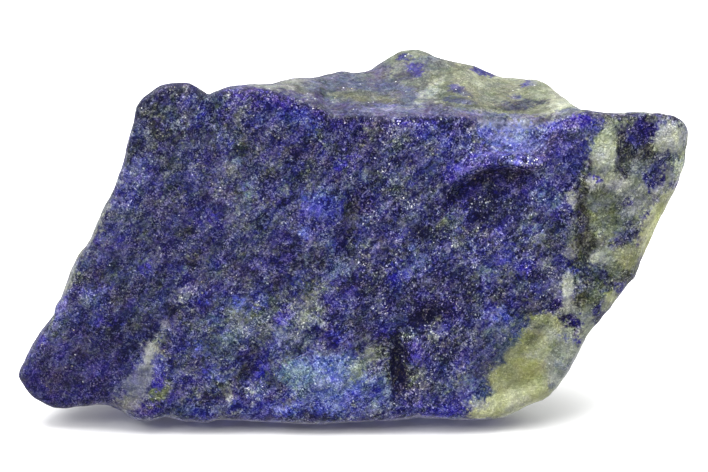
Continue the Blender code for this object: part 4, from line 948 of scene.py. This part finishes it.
def traits_of(p, n, colour, matrix):
    """Contrast of the fine and of the coarser grain, rubbed smoothness, matrix; painted glints and strands."""
    a, b = on_sheet(p)
    front = eased((3.5 - p[:, 1]) / 2.5)

    def at(u, v, ru, rv):
        return np.exp(-(((a - u) / ru) ** 2 + ((b - v) / rv) ** 2)) * front

    lobe = at(70, 370, 70, 50)
    left = at(160, 250, 90, 110)
    smooth = at(520, 372, 46, 44)
    slope = np.clip(at(515, 141, 34, 14) + 0.6 * at(585, 145, 18, 30), 0, 1)
    above = top_part(p, n, a, b) * eased((n @ -AHEAD + 0.02) / 0.2)
    fine = (1.0 - 0.30 * lobe - 0.10 * left - 0.45 * matrix * (1 - above)) * (1 - 0.60 * slope)
    fine = toward(toward(fine, 0.28, above), 0.30, smooth)
    coarse = (1.0 - 0.40 * lobe - 0.25 * left - 0.30 * matrix * (1 - above)) * (1 - 0.40 * slope)
    coarse = toward(toward(coarse, 0.50, above), 0.28, smooth)
    rub = np.clip(above * 0.8 + 0.4 * lobe + 0.7 * smooth, 0, 1)
    fine = fine * (1 - 0.10 * at(530, 260, 60, 60) - 0.07 * at(440, 360, 60, 50))
    right = eased((a - 300) / 110)
    # painted glints: how many bright flakes stand in the colour for facets that catch the light
    glint_flakes = toward(0.32, 0.66, right) * (1 - 0.65 * matrix) * (1 - 0.6 * slope)
    for u, v, ru, rv, more in GLINTS:
        glint_flakes = glint_flakes + more * np.exp(-(((a - u) / ru) ** 2 + ((b - v) / rv) ** 2)) * front
    glint_flakes = toward(toward(glint_flakes, 0.25, above), 0.12, smooth)
    strands = toward(0.35, 0.80, right) * (1 - 0.8 * matrix) * (1 - 0.8 * above)
    first = np.stack([np.clip(fine, 0.2, 1.3), np.clip(coarse, 0.2, 1.4), rub, matrix], axis=1)
    return first, np.stack([np.clip(glint_flakes, 0, 4), strands, above, np.ones(len(p))], axis=1)


def scattered(p, n, reach, seed):
    """Each point moved along the surface by a random step, so that grains mix across a border."""
    h = scramble(*(np.floor(p[:, k] / 0.11).astype(np.int64) for k in range(3)), seed)
    step = np.stack([part_of(h, k) - 0.5 for k in (1, 2, 3)], axis=1) * 2 * reach
    step = step - (step * n).sum(axis=1)[:, None] * n
    return p + step


colour_a, matrix_a = painted(points, smooth_normals)
loose_grains = (0.75 - 0.50 * np.clip(matrix_a, 0, 1))[:, None]
colour_b, matrix_b = painted(scattered(points, smooth_normals, loose_grains, 91), smooth_normals)
traits, traits_more = traits_of(points, smooth_normals, colour_a, 0.5 * (matrix_a + matrix_b))


def with_alpha(c):
    return np.concatenate([np.clip(c, 0, 1), np.ones((len(c), 1))], axis=1).astype(np.float32).ravel()


place = points - np.array(STONE_MIDDLE)
mesh = bpy.data.meshes.new("lazurite_surface")
mesh.from_pydata((place * 0.001).tolist(), [], quads.tolist())
mesh.shade_smooth()
for name, data in (("stone_a", with_alpha(colour_a)), ("stone_b", with_alpha(colour_b)), ("traits", traits.astype(np.float32).ravel()), ("traits_more", traits_more.astype(np.float32).ravel())):
    mesh.color_attributes.new(name, "FLOAT_COLOR", "POINT").data.foreach_set("color", data)
stone = bpy.data.objects.new("lazurite_surface", mesh)
bpy.context.scene.collection.objects.link(stone)


# ---------------------------------------------------------------- material
def make_stone_material():
    mat = bpy.data.materials.new("lazurite_grained")
    mat.use_nodes = True
    tree = mat.node_tree
    nodes, links = tree.nodes, tree.links
    bsdf = nodes["Principled BSDF"]

    def node(kind, **settings):
        made = nodes.new("ShaderNode" + kind)
        for key, value in settings.items():
            setattr(made, key, value)
        return made

    def put(socket, value):
        if hasattr(value, "is_output"):
            links.new(value, socket)
        else:
            socket.default_value = value

    def maths(operation, x, y=0.0, z=0.0, clamp=False):
        made = node("Math", operation=operation, use_clamp=clamp)
        for socket, value in zip(made.inputs, (x, y, z)):
            put(socket, value)
        return made.outputs[0]

    def add(*terms):
        total = terms[0]
        for term in terms[1:]:
            total = maths("ADD", total, term)
        return total

    def times(x, y):
        return maths("MULTIPLY", x, y)

    def ramp(x, low, high):
        made = node("MapRange", interpolation_type="SMOOTHSTEP")
        put(made.inputs["Value"], x)
        put(made.inputs["From Min"], low)
        put(made.inputs["From Max"], high)
        return made.outputs["Result"]

    def mixed(factor, x, y):
        made = node("Mix", data_type="RGBA")
        put(made.inputs[0], factor)
        put(made.inputs[6], x)
        put(made.inputs[7], y)
        return made.outputs[2]

    def vector(operation, x, y=None, scale=None):
        made = node("VectorMath", operation=operation)
        put(made.inputs[0], x)
        if y is not None:
            put(made.inputs[1], y)
        if scale is not None:
            put(made.inputs["Scale"], scale)
        return made.outputs[0]

    coords = node("TexCoord").outputs["Object"]
    mm = vector("SCALE", coords, scale=1000.0)
    bend = node("TexNoise", noise_dimensions="3D")
    put(bend.inputs["Vector"], mm)
    put(bend.inputs["Scale"], 2.4)
    put(bend.inputs["Detail"], 2.0)
    bent = vector("ADD", mm, vector("SCALE", vector("SUBTRACT", bend.outputs["Color"], (0.5, 0.5, 0.5)), scale=0.22))

    def cells(size, shift, source=None):
        made = node("TexVoronoi", voronoi_dimensions="3D", feature="F1")
        put(made.inputs["Vector"], vector("ADD", source or bent, shift))
        put(made.inputs["Scale"], 1.0 / size)
        split = node("SeparateColor")
        put(split.inputs[0], made.outputs["Color"])
        return made.outputs["Color"], split.outputs, made.outputs["Distance"]

    def cloudy(size, shift, detail=2.0, source=mm):
        made = node("TexNoise", noise_dimensions="3D")
        put(made.inputs["Vector"], vector("ADD", source, shift))
        put(made.inputs["Scale"], 1.0 / size)
        put(made.inputs["Detail"], detail)
        put(made.inputs["Roughness"], 0.6)
        return made.outputs["Fac"]

    fine_colour, fine, fine_far = cells(0.105, (3.1, 7.7, 1.3))
    mid_colour, mid, mid_far = cells(0.21, (9.2, 2.4, 5.5))
    wide_colour, wide, wide_far = cells(0.46, (4.7, 8.3, 2.9))

    stone_a = node("Attribute", attribute_name="stone_a").outputs["Color"]
    stone_b = node("Attribute", attribute_name="stone_b").outputs["Color"]
    traits_node = node("Attribute", attribute_name="traits")
    split = node("SeparateColor")
    put(split.inputs[0], traits_node.outputs["Color"])
    fine_contrast, coarse_contrast, rub = split.outputs
    matrix = traits_node.outputs["Alpha"]
    split = node("SeparateColor")
    put(split.inputs[0], node("Attribute", attribute_name="traits_more").outputs["Color"])
    glint_flakes, strands, on_top = split.outputs

    # a grain takes its place's colour or, now and then, a neighbour's
    swap = ramp(add(times(cloudy(0.34, (4.4, 1.1, 6.6), 3.0), 0.8), times(wide[0], 0.2)), 0.45, 0.55)
    ground = mixed(swap, stone_a, stone_b)

    def centred(x, by):
        return times(maths("SUBTRACT", x, 0.5), by)

    # clumps of grains, longer along one slanting direction, each with its own lightness and hue
    turned_mm = node("Mapping", vector_type="POINT")
    put(turned_mm.inputs["Vector"], mm)
    turned_mm.inputs["Rotation"].default_value = (0.0, math.radians(50.0), 0.0)
    drawn_mm = vector("MULTIPLY", turned_mm.outputs["Vector"], (0.66, 1.0, 1.0))
    sway = node("TexNoise", noise_dimensions="3D")
    put(sway.inputs["Vector"], drawn_mm)
    put(sway.inputs["Scale"], 1.6)
    put(sway.inputs["Detail"], 3.0)
    swayed = vector("ADD", drawn_mm, vector("SCALE", vector("SUBTRACT", sway.outputs["Color"], (0.5, 0.5, 0.5)), scale=1.1))
    clump_colour, clump, clump_far = cells(0.80, (5.2, 1.9, 7.1), swayed)
    bit_colour, bit, bit_far = cells(0.38, (2.2, 8.9, 4.1), swayed)

    # lighter and darker grains, and painted glints: bright flakes of two sizes in the colour
    sugar = times(maths("SUBTRACT", maths("POWER", fine[1], 1.6), 0.385), 0.34)
    lively = add(0.15, times(clump[2], 0.75), times(bit[2], 0.75))
    bright = add(
        times(maths("SUBTRACT", maths("POWER", fine[2], 18.0), 0.052), 0.60),
        times(times(ramp(mid[2], 0.965, 0.985), ramp(mid_far, 0.55, 0.25)), 0.28),
    )
    grain = add(times(sugar, lively), centred(cloudy(0.085, (1.7, 4.2, 8.8), 1.0), 0.44))
    grain = add(grain, times(times(bright, lively), glint_flakes))
    # feathery strands of grains along the same slant
    along = vector("MULTIPLY", turned_mm.outputs["Vector"], (0.30, 1.0, 1.0))
    along = vector("ADD", along, vector("SCALE", vector("SUBTRACT", sway.outputs["Color"], (0.5, 0.5, 0.5)), scale=0.55))
    feather = cloudy(0.30, (3.4, 9.9, 2.2), 3.0, along)
    feather = add(times(ramp(feather, 0.52, 0.70), 0.15), times(ramp(feather, 0.46, 0.32), -0.10), -0.02)
    grain = add(grain, times(feather, strands))
    lumps = add(
        times(maths("SUBTRACT", maths("POWER", mid[1], 2.0), 0.333), 0.12),
        centred(bit[0], 0.19),
        centred(clump[0], 0.14),
        centred(cloudy(0.85, (6.1, 0.4, 3.3), 3.0, swayed), 0.34),
    )
    light = add(times(grain, fine_contrast), times(lumps, coarse_contrast))
    # and between blue and grey
    grey = add(
        centred(bit[1], 0.06),
        centred(clump[1], 0.06),
        centred(cloudy(0.40, (2.9, 6.6, 0.8), 1.0), 0.20),
        centred(cloudy(1.3, (7.2, 3.8, 9.4), 2.0, swayed), 0.20),
    )
    # on the even left the dark grains are fewer; dark grains keep their blue and bright ones are whiter
    too_dark = times(maths("MINIMUM", add(light, 0.04), 0.0), times(maths("SUBTRACT", 0.9, strands), -0.35))
    light = add(light, too_dark)
    shade = vector("ADD", ground, vector("SCALE", (1.0, 1.0, 0.88), scale=light))
    shade = vector("ADD", shade, vector("SCALE", (0.35, 0.47, -0.81), scale=times(times(grey, coarse_contrast), maths("SUBTRACT", 1.0, add(times(rub, 0.35), times(matrix, 0.35))))))

    # and between violet and teal
    violet = add(
        centred(cloudy(0.42, (1.3, 5.9, 7.7), 2.0, swayed), 0.060),
        centred(cloudy(0.95, (9.3, 2.2, 3.1), 2.0, swayed), 0.060),
        centred(cloudy(2.4, (4.6, 7.5, 0.9), 1.0), 0.050),
        -0.003,
    )
    shade = vector("ADD", shade, vector("SCALE", (0.77, -0.23, 0.0), scale=times(violet, maths("SUBTRACT", 1.35, times(matrix, 0.85)))))

    # bits of blue and of olive in the matrix
    blue_bits = times(ramp(add(bit[2], times(cloudy(1.6, (2.2, 9.1, 4.0)), 0.8)), 1.42, 1.50), times(matrix, 0.5))
    shade = mixed(times(blue_bits, maths("SUBTRACT", 1.0, rub)), shade, (0.32, 0.31, 0.50, 1.0))

    # rare white flakes, which are painted glints, and yellow-white metallic specks
    white_glint = times(ramp(mid[0], 0.9935, 0.9955), ramp(mid_far, 0.45, 0.20))
    shade = mixed(times(white_glint, 0.75), shade, (0.86, 0.87, 0.88, 1.0))
    brass = times(ramp(mid[1], 0.9965, 0.998), ramp(mid_far, 0.40, 0.20))
    shade = mixed(times(brass, 0.7), shade, (0.78, 0.76, 0.56, 1.0))
    darkest = mixed(matrix, (0.035, 0.030, 0.190, 1.0), (0.085, 0.085, 0.085, 1.0))
    shade = vector("MINIMUM", vector("MAXIMUM", shade, darkest), (0.97, 0.97, 0.98))
    gamma = node("Gamma")
    put(gamma.inputs["Color"], shade)
    put(gamma.inputs["Gamma"], 2.2)
    links.new(gamma.outputs["Color"], bsdf.inputs["Base Color"])

    # grains stand out and catch the light each in its own way
    height = add(
        times(ramp(fine_far, 0.75, 0.05), 0.30),
        times(ramp(mid_far, 0.80, 0.05), 0.50),
        times(ramp(wide_far, 0.80, 0.05), 0.70),
        times(cloudy(0.10, (5.0, 5.0, 5.0), 3.0), 0.8),
        times(cloudy(0.55, (8.0, 1.0, 2.0), 3.0), 1.8),
    )
    bump = node("Bump")
    put(bump.inputs["Strength"], 1.0)
    put(bump.inputs["Distance"], 0.00006)
    put(bump.inputs["Height"], times(height, maths("SUBTRACT", 1.0, times(rub, 0.6))))
    tilt = vector("SCALE", vector("SUBTRACT", fine_colour, (0.5, 0.5, 0.5)), scale=0.26)
    turned = vector("NORMALIZE", vector("ADD", bump.outputs["Normal"], tilt))
    links.new(turned, bsdf.inputs["Normal"])

    rough = add(0.40, times(mid[2], 0.25), times(rub, 0.10), times(white_glint, -0.2))
    links.new(maths("MAXIMUM", rough, 0.12), bsdf.inputs["Roughness"])
    bsdf.inputs["Specular IOR Level"].default_value = 0.18
    bsdf.inputs["IOR"].default_value = 1.5
    return mat


stone.data.materials.append(make_stone_material())
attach(stone, "root")
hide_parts("lazurite_crystal")


# ---------------------------------------------------------------- floor, light and camera
def plain(name, colour, roughness):
    mat = bpy.data.materials.new(name)
    mat.use_nodes = True
    bsdf = mat.node_tree.nodes["Principled BSDF"]
    bsdf.inputs["Base Color"].default_value = (*colour, 1.0)
    bsdf.inputs["Roughness"].default_value = roughness
    return mat


bpy.ops.mesh.primitive_plane_add(size=6.0, location=(0, 0, 0))
floor = bpy.context.object
floor.name = "floor"
floor.data.materials.append(plain("pale_floor", (0.86, 0.86, 0.86), 0.9))

# the floor is lit white, so the light that it would throw up at the stone comes from the world instead, weaker
floor.visible_diffuse = False
floor.visible_glossy = False

world = bpy.data.worlds.new("studio")
world.use_nodes = True
nodes, links = world.node_tree.nodes, world.node_tree.links
background = nodes["Background"]
coords = nodes.new("ShaderNodeTexCoord")
axes = nodes.new("ShaderNodeSeparateXYZ")
links.new(coords.outputs["Generated"], axes.inputs[0])
sweep = nodes.new("ShaderNodeMapRange")
sweep.inputs["From Min"].default_value = -0.90
sweep.inputs["From Max"].default_value = -0.05
sweep.inputs["To Min"].default_value = 0.23
sweep.inputs["To Max"].default_value = 1.27
links.new(axes.outputs["Y"], sweep.inputs["Value"])
bounce = nodes.new("ShaderNodeMapRange")
bounce.inputs["From Min"].default_value = -0.05
bounce.inputs["From Max"].default_value = -0.75
bounce.inputs["To Min"].default_value = 0.0
bounce.inputs["To Max"].default_value = 0.85
links.new(axes.outputs["Z"], bounce.inputs["Value"])
either = nodes.new("ShaderNodeMath")
either.operation = "MAXIMUM"
links.new(sweep.outputs["Result"], either.inputs[0])
links.new(bounce.outputs["Result"], either.inputs[1])
background.inputs["Color"].default_value = (1.0, 1.0, 1.0, 1.0)
links.new(either.outputs[0], background.inputs["Strength"])
bpy.context.scene.world = world


def softbox(name, place, aim, size, watts):
    data = bpy.data.lights.new(name, "AREA")
    data.shape = "RECTANGLE"
    data.size, data.size_y = size
    data.energy = watts
    obj = bpy.data.objects.new(name, data)
    obj.location = place
    obj.rotation_euler = (Vector(aim) - Vector(place)).to_track_quat("-Z", "Y").to_euler()
    bpy.context.scene.collection.objects.link(obj)
    return obj


softbox("light_above", (-0.05, 0.00, 0.60), (0, 0, 0.015), (0.60, 0.60), 7.8)
softbox("light_front", (-0.32, -0.42, 0.50), (0, 0, 0.015), (0.26, 0.26), 1.9)

camera_data = bpy.data.cameras.new("camera")
camera_data.sensor_width = 36.0
camera_data.lens = FOCAL / 708.0 * 36.0
camera_data.clip_start = 0.01
camera_data.clip_end = 20.0
camera = bpy.data.objects.new("camera", camera_data)
camera.location = Vector(((EYE - np.array(STONE_MIDDLE)) * 0.001).tolist())
camera.rotation_euler = (math.radians(90.0 - SIGHT_ELEVATION), 0.0, 0.0)
bpy.context.scene.collection.objects.link(camera)
bpy.context.scene.camera = camera
bpy.context.scene.view_settings.view_transform = "Standard"
bpy.context.scene.view_settings.look = "None"
